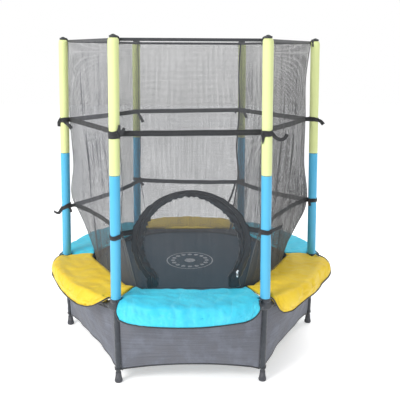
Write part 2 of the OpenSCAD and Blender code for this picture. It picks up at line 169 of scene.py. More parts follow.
class Build:
    """Gathers vertices, faces and cloth coordinates, and makes one object of them."""

    def __init__(self):
        self.verts, self.faces, self.uvs = [], [], []
        self.count = 0

    def add(self, points, faces, uv=None):
        points = np.asarray(points, float).reshape(-1, 3)
        uv = points[:, :2] if uv is None else np.asarray(uv, float).reshape(-1, 2)
        self.verts.append(points)
        self.uvs.append(uv)
        self.faces += [tuple(i + self.count for i in f) for f in faces]
        self.count += len(points)

    def grid(self, points, uv=None, loop_u=False, loop_v=False):
        """An open surface over a grid of points."""
        self.add(points, grid_faces(points.shape[0], points.shape[1], loop_u, loop_v), uv)

    def shell(self, points, thickness, uv=None):
        """A closed sheet: a grid of points and its copy, a thickness behind it, joined round the rim."""
        n, m = points.shape[:2]
        back = points - normals(points) * np.asarray(thickness)
        uv = np.zeros((n, m, 2)) if uv is None else uv
        front_faces = grid_faces(n, m)
        back_faces = [tuple(i + n * m for i in reversed(f)) for f in front_faces]
        edge = [(i, 0) for i in range(n)] + [(n - 1, j) for j in range(1, m)]
        edge += [(i, m - 1) for i in range(n - 2, -1, -1)] + [(0, j) for j in range(m - 2, 0, -1)]
        rim = [i * m + j for i, j in edge]
        sides = []
        for a, b in zip(rim, rim[1:] + rim[:1]):
            sides.append((b, a, a + n * m, b + n * m))
        both = np.concatenate([points.reshape(-1, 3), back.reshape(-1, 3)])
        self.add(both, front_faces + back_faces + sides, np.concatenate([uv.reshape(-1, 2)] * 2))

    def tube(self, path, radius, sides=8, closed=False, flat=1.0, up=(0, 0, 1)):
        """A round or flattened tube along a path, with closed ends."""
        path = np.asarray(path, float)
        n = len(path)
        side, top, along = frames(path, closed, up)
        radius = np.broadcast_to(np.asarray(radius, float), (n,))
        a = round_angles(sides)
        ring = side[:, None] * np.cos(a)[None, :, None] + top[:, None] * np.sin(a)[None, :, None] * flat
        points = path[:, None] + ring * radius[:, None, None]
        uv = np.stack(np.broadcast_arrays(along[:, None], a[None] * radius[:, None]), -1)
        faces = grid_faces(n, sides, closed, True)
        if not closed:
            faces += [tuple(reversed(range(sides))), tuple(range((n - 1) * sides, n * sides))]
        self.add(points, faces, uv)

    def ribbon(self, path, across, width, thickness, closed=False):
        """A flat strap along a path. across gives the direction of its width at each point."""
        path = np.asarray(path, float)
        n = len(path)
        across = np.broadcast_to(np.asarray(across, float), path.shape)
        across = across / np.linalg.norm(across, axis=1, keepdims=True)
        step = tangents(path, closed)
        out = np.cross(step, across)
        out /= np.linalg.norm(out, axis=1, keepdims=True)
        width = np.broadcast_to(np.asarray(width, float), (n,))[:, None]
        edge = min(thickness * 0.35, 0.0006)
        section = [(-0.5, -0.5), (0.5, -0.5), (0.5, 0.5), (-0.5, 0.5)]
        points, uv = [], []
        along = lengths(path)
        for x, y in section:
            inset = 1 - 2 * edge / width
            side, face = (x, y * 0.5), (x * inset, y)
            for x1, y1 in (side, face) if x * y > 0 else (face, side):
                points.append(path + across * width * x1 + out * thickness * y1)
                uv.append(np.stack([along, (width * x1)[:, 0]], -1))
        points, uv = np.stack(points, 1), np.stack(uv, 1)
        sides = points.shape[1]
        faces = grid_faces(n, sides, closed, True)
        if not closed:
            faces += [tuple(reversed(range(sides))), tuple(range((n - 1) * sides, n * sides))]
        self.add(points, faces, uv)

    def box(self, centre, x, y, z, size):
        """A box with bevelled edges, on three axes."""
        size = np.asarray(size, float) / 2
        bevel = min(size) * 0.35
        corners, faces = [], []
        axes = np.array([x, y, z], float)
        signs = [(i, j, k) for i in (-1, 1) for j in (-1, 1) for k in (-1, 1)]
        index = {}
        for s in signs:
            for axis in range(3):
                p = np.array(s) * (size - bevel)
                p[axis] += s[axis] * bevel
                index[s, axis] = len(corners)
                corners.append(np.asarray(centre) + p @ axes)
        for axis in range(3):
            b, c = [(1, 2), (2, 0), (0, 1)][axis]
            for side in (-1, 1):
                loop = []
                for v, w in ((-1, -1), (1, -1), (1, 1), (-1, 1)):
                    s = [0, 0, 0]
                    s[axis], s[b], s[c] = side, v, w
                    loop.append(index[tuple(s), axis])
                faces.append(tuple(loop if side > 0 else reversed(loop)))
            for v in (-1, 1):
                for w in (-1, 1):
                    lo, hi = [0, 0, 0], [0, 0, 0]
                    lo[axis], hi[axis] = -1, 1
                    lo[b] = hi[b] = v
                    lo[c] = hi[c] = w
                    lo, hi = tuple(lo), tuple(hi)
                    quad = [index[lo, b], index[hi, b], index[hi, c], index[lo, c]]
                    faces.append(tuple(quad if v * w < 0 else reversed(quad)))
        for s in signs:
            tri = [index[s, 0], index[s, 1], index[s, 2]]
            faces.append(tuple(tri if s[0] * s[1] * s[2] > 0 else reversed(tri)))
        self.add(corners, faces)

    def make(self, name, look, body=None, flat_shaded=False, subdivide=0):
        """Makes the object, and lets it ride on a body where one is given."""
        verts = np.concatenate(self.verts)
        mesh = bpy.data.meshes.new(name)
        mesh.from_pydata(verts.tolist(), [], self.faces)
        uvs = np.concatenate(self.uvs)
        layer = mesh.uv_layers.new(name="cloth")
        loops = np.zeros(len(mesh.loops), int)
        mesh.loops.foreach_get("vertex_index", loops)
        layer.data.foreach_set("uv", uvs[loops].astype(np.float32).ravel())
        if not flat_shaded:
            mesh.polygons.foreach_set("use_smooth", [True] * len(mesh.polygons))
        mesh.materials.append(look)
        mesh.validate()
        mesh.update()
        piece = bpy.data.objects.new(name, mesh)
        bpy.context.scene.collection.objects.link(piece)
        if subdivide:
            modifier = piece.modifiers.new("round", "SUBSURF")
            modifier.levels = modifier.render_levels = subdivide
            apply_modifiers(piece)
        if body:
            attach(piece, body)
        return piece


def grid_faces(n, m, loop_u=False, loop_v=False):
    """The faces between n rows of m points, which may close on themselves."""
    rows, cols = n if loop_u else n - 1, m if loop_v else m - 1
    return [
        (i * m + j, ((i + 1) % n) * m + j, ((i + 1) % n) * m + (j + 1) % m, i * m + (j + 1) % m)
        for i in range(rows) for j in range(cols)
    ]


def normals(points):
    """Unit normals of a grid of points, on the side that its faces turn to."""
    n = np.cross(np.gradient(points, axis=0), np.gradient(points, axis=1))
    return n / np.maximum(np.linalg.norm(n, axis=-1, keepdims=True), 1e-12)


def tangents(path, closed=False):
    step = np.roll(path, -1, 0) - np.roll(path, 1, 0) if closed else np.gradient(path, axis=0)
    return step / np.maximum(np.linalg.norm(step, axis=1, keepdims=True), 1e-12)


def lengths(path):
    return np.concatenate([[0], np.cumsum(np.linalg.norm(np.diff(path, axis=0), axis=1))])


def frames(path, closed, up):
    """Two directions across a path at each point, turned as little as may be, and the length so far."""
    step = tangents(path, closed)
    side = np.cross(step, np.asarray(up, float))
    weak = np.linalg.norm(side, axis=1) < 0.1
    side[weak] = np.cross(step[weak], (1.0, 0.3, 0.1))
    side /= np.linalg.norm(side, axis=1, keepdims=True)
    return side, np.cross(side, step), lengths(path)


def apply_modifiers(piece):
    """Replaces a piece's mesh by what its modifiers make of it."""
    graph = bpy.context.evaluated_depsgraph_get()
    mesh = bpy.data.meshes.new_from_object(piece.evaluated_get(graph))
    old = piece.data
    piece.modifiers.clear()
    piece.data = mesh
    mesh.name = old.name
    bpy.data.meshes.remove(old)


def waves(seed, count, low, high):
    """A repeatable sum of sine waves of two arguments, about -1 to 1, with lengths from low to high."""
    rng = random.Random(seed)
    terms = []
    for _ in range(count):
        length = rng.uniform(low, high)
        turn = rng.uniform(0, 2 * math.pi)
        terms.append((2 * math.pi / length * math.cos(turn), 2 * math.pi / length * math.sin(turn),
                      rng.uniform(0, 2 * math.pi)))
    return lambda x, y: sum(np.sin(a * x + b * y + c) for a, b, c in terms) / math.sqrt(count)


# Materials ---------------------------------------------------------------------------------


def linear(r, g, b):
    """A colour seen as sRGB 0 to 255, in linear light."""
    return tuple((c / 255 / 12.92) if c <= 10 else ((c / 255 + 0.055) / 1.055) ** 2.4 for c in (r, g, b))


class Look:
    """A node material on one Principled shader."""

    def __init__(self, name, colour, roughness, **sockets):
        self.material = bpy.data.materials.new(name)
        self.material.use_nodes = True
        self.tree = self.material.node_tree
        self.shader = next(n for n in self.tree.nodes if n.type == "BSDF_PRINCIPLED")
        self.colour = (*colour, 1.0)
        self.shader.inputs["Base Color"].default_value = self.colour
        self.shader.inputs["Roughness"].default_value = roughness
        for socket, value in sockets.items():
            self.shader.inputs[socket.replace("_", " ")].default_value = value
        # The last bump, which the next one adds to
        self.height = None

    def node(self, kind, *inputs, **settings):
        """Adds a node, with its first inputs fed in turn."""
        node = self.tree.nodes.new(kind)
        for key, value in settings.items():
            setattr(node, key, value)
        for slot, value in enumerate(inputs):
            self.feed(node.inputs[slot], value)
        return node

    def feed(self, socket, value):
        if value is None:
            return
        if isinstance(value, bpy.types.NodeSocket):
            self.tree.links.new(value, socket)
        else:
            socket.default_value = value

    def rough(self, value):
        """Lets the roughness follow a value."""
        self.feed(self.shader.inputs["Roughness"], value)

    def math(self, operation, *inputs):
        return self.node("ShaderNodeMath", *inputs, operation=operation).outputs[0]

    def distance(self, x, y):
        """The distance of a point x, y from the origin."""
        return self.math("SQRT", self.math("ADD", self.math("MULTIPLY", x, x), self.math("MULTIPLY", y, y)))

    def place(self):
        return self.node("ShaderNodeTexCoord").outputs["Object"]

    def cloth(self):
        """The cloth's own coordinates, in metres along and across it."""
        uv = self.node("ShaderNodeUVMap", uv_map="cloth").outputs[0]
        parts = self.node("ShaderNodeSeparateXYZ", uv)
        return uv, parts.outputs[0], parts.outputs[1]

    def noise(self, where, scale, detail=3.0, roughness=0.5):
        node = self.node("ShaderNodeTexNoise")
        self.feed(node.inputs["Vector"], where)
        node.inputs["Scale"].default_value = scale
        node.inputs["Detail"].default_value = detail
        node.inputs["Roughness"].default_value = roughness
        return node.outputs["Fac"]

    def stretched(self, where, scale):
        node = self.node("ShaderNodeMapping")
        self.feed(node.inputs["Vector"], where)
        node.inputs["Scale"].default_value = scale
        return node.outputs[0]

    def ramp(self, value, low, high, start=0.0, end=1.0):
        node = self.node("ShaderNodeMapRange")
        self.feed(node.inputs["Value"], value)
        for name, number in (("From Min", low), ("From Max", high), ("To Min", start), ("To Max", end)):
            node.inputs[name].default_value = number
        return node.outputs[0]

    def tint(self, amount, colour):
        """Mixes a colour over the base colour by an amount."""
        base = self.shader.inputs["Base Color"]
        before = base.links[0].from_socket if base.links else self.colour
        node = self.node("ShaderNodeMix", data_type="RGBA")
        self.feed(node.inputs[0], amount)
        self.feed(node.inputs[6], before)
        self.feed(node.inputs[7], (*colour, 1.0))
        self.tree.links.new(node.outputs[2], base)

    def bump(self, value, distance, strength=1.0):
        node = self.node("ShaderNodeBump")
        node.inputs["Strength"].default_value = strength
        node.inputs["Distance"].default_value = distance
        self.feed(node.inputs["Height"], value)
        if self.height:
            self.tree.links.new(self.height, node.inputs["Normal"])
        self.height = node.outputs[0]
        self.tree.links.new(self.height, self.shader.inputs["Normal"])

    def lines(self, along, pitch, width):
        """1 on thin lines across a coordinate, at a pitch, and 0 between them."""
        return self.math("LESS_THAN", self.math("PINGPONG", along, pitch / 2), width)

    def ripple(self, along, pitch):
        """A sine of a coordinate."""
        return self.math("SINE", self.math("MULTIPLY", along, 2 * math.pi / pitch))

    def weave(self, u, v, pitch, depth):
        """Threads that pass over and under each other."""
        warp = self.math("MULTIPLY", self.ripple(u, 2 * pitch), self.ripple(v, pitch))
        weft = self.math("MULTIPLY", self.ripple(v, 2 * pitch), self.ripple(u, pitch))
        threads = self.math("MAXIMUM", warp, weft)
        self.bump(threads, depth, 0.8)
        return threads


def net_look(name, colour, coverage, pitch, pleats, lower):
    """Knitted mesh: thin threads with clear holes between, closer together in its pleats and lower down."""
    look = Look(name, colour, 0.75, Sheen_Weight=0.1)
    uv, u, v = look.cloth()
    share = 1 - math.sqrt(1 - coverage)
    long_pleats = look.noise(look.stretched(uv, (48.0, 2.4, 1.0)), 1.0, 4.0, 0.62)
    cloudy = look.noise(look.place(), 7.0, 3.0)
    uneven = look.math("MULTIPLY", look.ramp(long_pleats, 0.3, 0.7, 1 - pleats, 1 + pleats),
                       look.ramp(cloudy, 0.3, 0.7, 0.9, 1.1))
    uneven = look.math("MULTIPLY", uneven, look.ramp(v, NET_HIGH, 0.6, 1.0, lower))
    width = look.math("MULTIPLY", uneven, pitch * share / 2)
    threads = look.math("MAXIMUM", look.lines(u, pitch, width), look.lines(v, pitch, width))
    look.feed(look.shader.inputs["Alpha"], look.math("MAXIMUM", threads, 0.02))
    look.tint(look.ramp(look.noise(look.place(), 30.0), 0.3, 0.7, 0.0, 0.5), tuple(c * 1.3 for c in colour))
    look.bump(look.ripple(u, pitch), 0.0002)
    return look.material


def webbing_look():
    """Black polypropylene webbing with ribs along it and stitched edges."""
    look = Look("webbing", linear(31, 32, 36), 0.66, Sheen_Weight=0.15, Sheen_Roughness=0.5)
    uv, u, v = look.cloth()
    look.bump(look.ripple(v, 0.0021), 0.0004)
    look.bump(look.ripple(look.math("ADD", u, look.math("MULTIPLY", v, 0.6)), 0.0016), 0.0002)
    worn = look.ramp(look.noise(uv, 60.0, 5.0), 0.35, 0.8, 0.0, 0.35)
    look.tint(worn, linear(58, 59, 63))
    rows = look.lines(look.math("ABSOLUTE", v), 0.0180, 0.0006)
    stitch = look.math("MULTIPLY", rows, look.lines(u, 0.005, 0.0017))
    look.tint(look.math("MULTIPLY", stitch, 0.6), linear(84, 85, 88))
    return look.material


def foam_look(name, colour, shade):
    """Soft foam tube in a thin satin skin, with fine creases round it."""
    look = Look(name, colour, 0.42, Specular_IOR_Level=0.3, Sheen_Weight=0.08, Coat_Weight=0.04,
                Coat_Roughness=0.4)
    uv = look.cloth()[0]
    soft = look.noise(look.stretched(look.place(), (1.0, 1.0, 0.35)), 14.0, 4.0)
    look.tint(look.ramp(soft, 0.35, 0.75, 0.0, 0.32), shade)
    creases = look.noise(look.stretched(uv, (55.0, 9.0, 1.0)), 1.0, 5.0, 0.6)
    look.bump(creases, 0.0012, 0.5)
    look.bump(look.noise(look.place(), 900.0, 2.0), 0.0002, 0.5)
    scuffs = look.ramp(look.noise(look.place(), 38.0, 6.0, 0.7), 0.62, 0.75, 0.0, 0.18)
    look.tint(scuffs, tuple(min(1.0, c * 1.25 + 0.05) for c in colour))
    look.rough(look.ramp(soft, 0.3, 0.7, 0.36, 0.52))
    return look.material


def cover_look(name, colour, shade, light):
    """Coated pad cloth: fine weave, soft sheen, creases where it has been folded, and painted highlights on
    its small bulges and along its crease ridges.
    """
    look = Look(name, colour, 0.5, Specular_IOR_Level=0.3, Sheen_Weight=0.05, Coat_Weight=0.04,
                Coat_Roughness=0.35)
    uv, u, v = look.cloth()
    look.weave(u, v, 0.0011, 0.00012)
    large = look.noise(look.stretched(look.place(), (1.0, 1.0, 1.6)), 9.0, 4.0, 0.55)
    look.tint(look.ramp(large, 0.42, 0.72, 0.0, 0.5), shade)
    small = look.noise(look.stretched(look.place(), (1.4, 1.0, 1.0)), 26.0, 5.0, 0.6)
    # Painted highlight: the small bulges are tinted with the pale colour.
    look.tint(look.ramp(small, 0.55, 0.8, 0.0, 0.3), light)
    look.bump(small, 0.004, 0.35)
    folds = look.noise(look.stretched(uv, (24.0, 9.0, 1.0)), 1.0, 6.0, 0.62)
    look.bump(folds, 0.005, 0.35)
    ridge = look.noise(look.stretched(uv, (7.0, 3.5, 1.0)), 1.0, 2.0, 0.4)
    ridge = look.math("ABSOLUTE", look.math("SUBTRACT", ridge, 0.5))
    look.bump(look.ramp(ridge, 0.0, 0.12, 0.0, 1.0), 0.012, 0.3)
    # Painted highlight: pale lines drawn along the crease ridges.
    look.tint(look.ramp(ridge, 0.0, 0.05, 0.12, 0.0), light)
    look.rough(look.ramp(small, 0.3, 0.7, 0.36, 0.56))
    return look.material


def mat_look():
    """Woven polypropylene jumping cloth, with a plain printed ring of dots in its middle."""
    look = Look("mat_cloth", linear(66, 83, 96), 0.75, Specular_IOR_Level=0.12)
    place = look.place()
    parts = look.node("ShaderNodeSeparateXYZ", place)
    x, y = parts.outputs[0], parts.outputs[1]
    threads = look.weave(x, y, 0.0028, 0.0003)
    look.tint(look.ramp(threads, 0.1, 0.9, 0.0, 0.35), linear(76, 86, 96))
    cloudy = look.noise(place, 5.0, 5.0)
    look.tint(look.ramp(cloudy, 0.4, 0.75, 0.0, 0.4), linear(54, 67, 78))
    r = look.distance(x, y)
    ring_r, ring_half, dots, dots_r, dot_r, middle_r = 0.128, 0.0035, 16, 0.095, 0.0125, 0.030
    ring = look.math("LESS_THAN", look.math("ABSOLUTE", look.math("SUBTRACT", r, ring_r)), ring_half)
    turn = look.math("MULTIPLY", look.math("ARCTAN2", y, x), dots / (2 * math.pi))
    off = look.math("MULTIPLY", look.math("PINGPONG", turn, 0.5), 2 * math.pi * dots_r / dots)
    reach = look.distance(off, look.math("SUBTRACT", r, dots_r))
    mark = look.math("MAXIMUM", ring, look.math("LESS_THAN", reach, dot_r))
    mark = look.math("MAXIMUM", mark, look.math("LESS_THAN", r, middle_r))
    wear = look.ramp(look.noise(place, 120.0, 5.0), 0.3, 0.55, 0.45, 0.92)
    look.tint(look.math("MULTIPLY", mark, wear), linear(196, 198, 202))
    border = look.math("GREATER_THAN", r, MAT_R - MAT_BORDER)
    look.tint(look.math("MULTIPLY", border, 0.85), linear(22, 24, 28))
    return look.material


def skirt_look():
    """Dense grey mesh with a visible square weave, its holes painted dark as the shade behind it."""
    look = Look("skirt_cloth", linear(118, 121, 130), 0.8, Sheen_Weight=0.05, Specular_IOR_Level=0.2)
    uv, u, v = look.cloth()
    pitch, half = 0.0030, 0.00105
    threads = look.math("MAXIMUM", look.lines(u, pitch, half), look.lines(v, pitch, half))
    # The holes are painted dark: painted shade of the dim space behind the skirt, seen through them.
    holes = look.math("SUBTRACT", 1.0, threads)
    look.tint(look.math("MULTIPLY", holes, 0.75), linear(52, 54, 60))
    bands = look.noise(look.stretched(uv, (1.0, 40.0, 1.0)), 3.0, 5.0, 0.65)
    look.tint(look.ramp(bands, 0.42, 0.68, 0.0, 0.55), linear(88, 90, 98))
    worn = look.noise(look.stretched(uv, (10.0, 7.0, 1.0)), 1.0, 5.0, 0.62)
    look.tint(look.ramp(worn, 0.45, 0.7, 0.0, 0.35), linear(106, 102, 103))
    look.tint(look.ramp(worn, 0.3, 0.5, 0.3, 0.0), linear(150, 154, 166))
    look.bump(threads, 0.0004)
    look.bump(look.noise(look.stretched(uv, (12.0, 4.0, 1.0)), 1.0, 5.0), 0.006, 0.3)
    return look.material


def dark_cloth_look(name, colour, light, gloss=0.5):
    """Dark smooth nylon that creases sharply, with painted highlights on the raised parts of its creases."""
    look = Look(name, colour, gloss, Sheen_Weight=0.3, Specular_IOR_Level=0.45)
    u, v = look.cloth()[1:]
    look.weave(u, v, 0.0008, 0.0001)
    folds = look.noise(look.place(), 42.0, 6.0, 0.62)
    look.bump(folds, 0.004, 0.45)
    # Painted highlight: the raised parts of the creases are tinted with the lighter colour.
    look.tint(look.ramp(folds, 0.5, 0.75, 0.0, 0.5), light)
    return look.material


def coated_steel_look(name, colour, light):
    """Powder-coated steel: orange peel, and dust and small rubs that show lighter."""
    look = Look(name, colour, 0.42, Specular_IOR_Level=0.55, Coat_Weight=0.15, Coat_Roughness=0.3)
    place = look.place()
    look.bump(look.noise(place, 420.0, 2.0), 0.00035, 0.5)
    rubs = look.noise(look.stretched(place, (1.0, 1.0, 0.3)), 60.0, 7.0, 0.7)
    look.tint(look.ramp(rubs, 0.55, 0.78, 0.0, 0.5), light)
    look.rough(look.ramp(rubs, 0.3, 0.7, 0.34, 0.55))
    return look.material


def zinc_look(name, colour, roughness, stretch):
    """Bare zinc-plated steel, with spangle and drawing marks."""
    look = Look(name, colour, roughness, Metallic=0.95)
    place = look.place()
    spangle = look.node("ShaderNodeTexVoronoi")
    look.feed(spangle.inputs["Vector"], place)
    spangle.inputs["Scale"].default_value = 160.0
    look.tint(look.ramp(spangle.outputs["Distance"], 0.0, 1.0, 0.0, 0.35), tuple(c * 0.6 for c in colour))
    marks = look.noise(look.stretched(place, stretch), 90.0, 5.0, 0.6)
    look.rough(look.ramp(marks, 0.3, 0.7, roughness * 0.75, roughness * 1.35))
    look.bump(marks, 0.0002, 0.4)
    return look.material


def rubber_look():
    """Dull moulded rubber with dust on it."""
    look = Look("foot_rubber", linear(76, 77, 82), 0.72, Specular_IOR_Level=0.35)
    place = look.place()
    look.bump(look.noise(place, 600.0, 3.0), 0.0003, 0.6)
    dust = look.noise(place, 55.0, 6.0, 0.65)
    look.tint(look.ramp(dust, 0.45, 0.75, 0.0, 0.5), linear(132, 132, 136))
    look.bump(dust, 0.0008, 0.3)
    return look.material


def plastic_look(name, colour, light, roughness=0.4):
    """Moulded plastic with a fine grain."""
    look = Look(name, colour, roughness, Specular_IOR_Level=0.5)
    place = look.place()
    look.bump(look.noise(place, 1200.0, 2.0), 0.00015, 0.5)
    rubs = look.noise(place, 80.0, 6.0, 0.7)
    look.tint(look.ramp(rubs, 0.55, 0.75, 0.0, 0.35), light)
    look.rough(look.ramp(rubs, 0.3, 0.7, roughness * 0.85, roughness * 1.3))
    return look.material


# One net on every face. The left-hand faces' threads are painted lighter, as painted light from the key lamp.
# The right-hand faces' threads are painted darker, denser and more streaked, as painted shade on the side
# away from it. The side faces' threads are also denser than the front's and rear's because they are seen
# aslant.
NETS = {
    "front": net_look("net_front_threads", linear(82, 83, 86), 0.30, 0.003, 0.14, 1.60),
    "rear": net_look("net_rear_threads", linear(80, 81, 83), 0.31, 0.003, 0.16, 1.60),
    "left": net_look("net_left_threads_painted_light", linear(88, 89, 94), 0.37, 0.003, 0.28, 1.58),
    "right": net_look("net_right_threads_painted_shade", linear(78, 78, 79), 0.47, 0.003, 0.40, 1.75),
}
NETS.update({"rear_left": NETS["left"], "front_left": NETS["left"]})
NETS.update({"rear_right": NETS["right"], "front_right": NETS["right"]})
# The dark cloths' second colour is that of their painted highlights on raised creases.
NET_SEAM = dark_cloth_look("net_seam", linear(96, 97, 100), linear(124, 125, 128), 0.6)
WEBBING = webbing_look()
PIPING = dark_cloth_look("piping", linear(34, 37, 42), linear(62, 66, 72), 0.5)
BINDING = dark_cloth_look("net_binding", linear(46, 48, 52), linear(74, 76, 80), 0.6)
ZIP_CLOTH = dark_cloth_look("zip_cloth", linear(31, 34, 39), linear(50, 54, 60), 0.5)
SLEEVE_CLOTH = dark_cloth_look("sleeve_cloth", linear(49, 54, 61), linear(74, 80, 88), 0.55)
BLUE_FOAM = foam_look("blue_foam", linear(90, 184, 224), linear(62, 166, 216))
GREEN_FOAM = foam_look("green_foam", linear(222, 230, 164), linear(206, 216, 140))
# Each pad cloth: its colour, a darker tone for large patches, and the pale colour of its painted highlights.
COVERS = [
    cover_look("blue_cover", linear(74, 212, 238), linear(24, 188, 228), linear(140, 232, 246)),
    cover_look("yellow_cover", linear(240, 206, 54), linear(224, 184, 30), linear(247, 226, 116)),
]
MAT_CLOTH = mat_look()
SKIRT_CLOTH = skirt_look()
RING_STEEL = coated_steel_look("ring_steel", linear(48, 50, 54), linear(86, 88, 93))
LEG_STEEL = coated_steel_look("leg_steel", linear(54, 57, 62), linear(92, 96, 102))
POLE_STEEL = zinc_look("pole_steel", (0.62, 0.63, 0.65), 0.32, (1.0, 1.0, 0.05))
WIRE_STEEL = zinc_look("wire_steel", (0.40, 0.41, 0.43), 0.42, (1.0, 1.0, 1.0))
FASTENER_STEEL = zinc_look("fastener_steel", (0.16, 0.165, 0.175), 0.45, (1.0, 1.0, 1.0))
FOOT_RUBBER = rubber_look()
CAP_PLASTIC = plastic_look("cap_plastic", linear(46, 52, 50), linear(78, 84, 82))
TEETH_PLASTIC = plastic_look("zip_teeth", linear(36, 38, 42), linear(66, 68, 72), 0.3)
PULL_PLASTIC = plastic_look("zip_pull", linear(232, 234, 236), linear(214, 216, 220), 0.3)


def finish_hard_parts():
    """Gives the CAD nodes that stay their materials."""
    looks = {"rubber_feet": FOOT_RUBBER, "pole_caps": CAP_PLASTIC, "frame_bolts": FASTENER_STEEL,
             "frame_nuts": FASTENER_STEEL}
    for side in FACES:
        looks["ring_tube_" + side] = RING_STEEL
    for post in POSTS:
        looks["leg_" + post] = LEG_STEEL
        looks["lower_pole_" + post] = POLE_STEEL
        looks["upper_pole_" + post] = POLE_STEEL
    for name, look in looks.items():
        node = frame["nodes"][name]
        node.data.materials.clear()
        node.data.materials.append(look)


# Posts -------------------------------------------------------------------------------------


def foam_sleeve(i, low, high, name, look, node, seed, crown=0.0015):
    """One foam tube: rounded ends, a closing seam on its inner side, and a waist at each strap.

    crown is how far down from its top the rounding starts.
    """
    turns, rows = 48, 90
    bend = waves(seed, 5, 0.10, 0.5)
    out, along = axes_at(60 * i)
    bore = 0.47
    rise = np.linspace(0, 1, 9)
    heights = np.concatenate([[low, low, low + 0.0015], np.linspace(low + 0.006, high - crown - 0.002, rows),
                              high - crown + crown * rise, [high]])
    # A long crown closes in further at its top
    inset = 0.05 if crown < 0.005 else 0.29
    top = 1 - inset * (1 - np.sqrt(1 - rise ** 2))
    reach = np.concatenate([[bore, 0.93, 0.98], np.ones(rows), top, [bore]])
    angle = round_angles(turns)
    seam = 1 - 0.055 * np.exp(-((angle - math.pi) / 0.07) ** 2)
    points, uv = [], []
    for z, share in zip(heights, reach):
        r = FOAM_R * share * (1 - 0.008 + 0.010 * bend(angle * 0.1, z))
        for strap in (STRAP_LOW, STRAP_HIGH):
            r = r - 0.0016 * math.exp(-((z - strap) / 0.016) ** 2)
        r = (r * (seam if share > 0.8 else 1))[:, None]
        points.append(post_at(i, z) + r * np.cos(angle)[:, None] * out + r * np.sin(angle)[:, None] * along)
        uv.append(np.stack([np.full(turns, z), angle * FOAM_R], -1))
    build = Build()
    points = np.stack(points)
    build.grid(points[:, ::-1], np.stack(uv)[:, ::-1], loop_v=True)
    build.grid(points[[-1, 0]][:, ::-1], loop_v=True)
    piece = build.make(name, look, "frame")
    weld(piece)
    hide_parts(node)


def weld(piece, distance=1e-5):
    """Joins the points of a piece that lie on each other."""
    modifier = piece.modifiers.new("weld", "WELD")
    modifier.merge_threshold = distance
    apply_modifiers(piece)


# The dark cloth wrapped round each socket, drawn in under the foam and over its lower end: heights, with half
# its depth and half its width at each
WRAP_SECTIONS = [
    (0.3740, 0.0115, 0.0115), (0.3745, 0.0200, 0.0200), (0.3800, 0.0225, 0.0480), (0.3950, 0.0225, 0.0535),
    (0.4090, 0.0220, 0.0480), (0.4130, 0.0220, 0.0290), (0.4150, 0.0255, 0.0255), (0.4220, 0.0262, 0.0262),
    (0.4300, 0.0255, 0.0255), (0.4315, 0.0245, 0.0245), (0.4315, 0.0225, 0.0225),
]


def make_posts():
    for i, post in enumerate(POSTS):
        foam_sleeve(i, FOAM_LOW, FOAM_JOINT - 0.0015, "foam_lower_" + post, BLUE_FOAM, "lower_foam_" + post,
                    20 + i)
        foam_sleeve(i, FOAM_JOINT, FOAM_HIGH, "foam_upper_" + post, GREEN_FOAM, "upper_foam_" + post,
                    40 + i, crown=0.017)
    build = Build()
    angle = round_angles(40)
    for i in SIX:
        crease = waves(60 + i, 7, 0.010, 0.030)
        out, along = axes_at(60 * i)
        rings = []
        for z, deep, wide in WRAP_SECTIONS:
            # The edges that are drawn in have no creases
            loose = 0.0009 * crease(angle * 0.03, z) if deep > 0.0198 and wide > 0.024 else 0
            centre = post_at(i, max(z, RING_Z))
            ring = centre + ((deep + loose) * np.cos(angle))[:, None] * out
            ring = ring + ((wide + loose) * np.sin(angle))[:, None] * along
            ring[:, 2] = z
            rings.append(ring)
        heights = np.array([section[0] for section in WRAP_SECTIONS])
        uv = np.stack(np.broadcast_arrays(heights[:, None], angle[None] * 0.03), -1)
        build.grid(np.stack(rings)[:, ::-1], uv[:, ::-1], loop_v=True)
    boots = build.make("socket_wraps", SLEEVE_CLOTH, "frame", subdivide=1)


# Net ---------------------------------------------------------------------------------------

# Distance of the net's corners from the centre, at CORNER_Z
CORNER_Z = [NET_LOW, 0.43, 0.46, 0.60, 0.69, STRAP_LOW, 0.95, STRAP_HIGH, 1.40, NET_HIGH]
CORNER_R = [0.522, 0.525, 0.535, 0.5795, 0.6105, 0.624, 0.612, 0.6235, 0.616, 0.6205]
# How far the net's corner at each post that isn't in line with the others sways outward, at SWAY_Z
SWAY_Z = [NET_LOW, 0.46, 0.60, 0.69, STRAP_LOW, 0.95, STRAP_HIGH, 1.38, NET_HIGH]
CORNER_SWAY = {
    0: [0.0, 0.0, 0.018, 0.027, 0.020, 0.008, -0.010, -0.012, 0.0],
    1: [0.0, 0.0, 0.0, 0.0, 0.0, -0.016, 0.0, -0.010, 0.0],
    3: [0.0, 0.0, 0.0, 0.004, 0.009, 0.013, 0.008, 0.010, 0.0],
}
# A face's middle leans outward up to BEND_Z and stands almost upright above it
BEND_Z = 1.200
BEND_IN = NET_IN + (BEND_Z - NET_LOW) * math.tan(NET_LEAN)
FACE_Z = [NET_LOW, BEND_Z, NET_HIGH]
FACE_IN = [NET_IN - 0.001, BEND_IN, 0.5325]
# The calm faces' number of folds. The others have MANY_FOLDS.
FOLD_COUNT = {"front": 5, "rear": 8}
MANY_FOLDS = 26


def folds_of(k):
    """Long soft ridges in a face, most of them running down from its upper corners."""
    rng = random.Random(300 + k)
    ridges = []
    calm = FACES[k] in FOLD_COUNT
    for _ in range(FOLD_COUNT.get(FACES[k], MANY_FOLDS)):
        start = rng.uniform(-0.95, 0.95)
        width = rng.uniform(0.03, 0.09) if calm else rng.uniform(0.014, 0.055)
        size = rng.uniform(-1, 1) * (0.004 if calm else 0.010)
        ridges.append((start, start + rng.uniform(-0.45, 0.45), width, size))
    return ridges


FOLDS = [folds_of(k) for k in SIX]


def corner_r(i, z):
    """Distance of the net's corner at post i from the centre."""
    r = through(z, CORNER_Z, CORNER_R)
    return r + through(z, SWAY_Z, CORNER_SWAY[i]) if i in CORNER_SWAY else r


def net_corner(k, t, z):
    """The corner distance that holds at t on face k, between those of its two posts."""
    return corner_r(k, z) * (1 - t) / 2 + corner_r((k + 1) % 6, z) * (1 + t) / 2


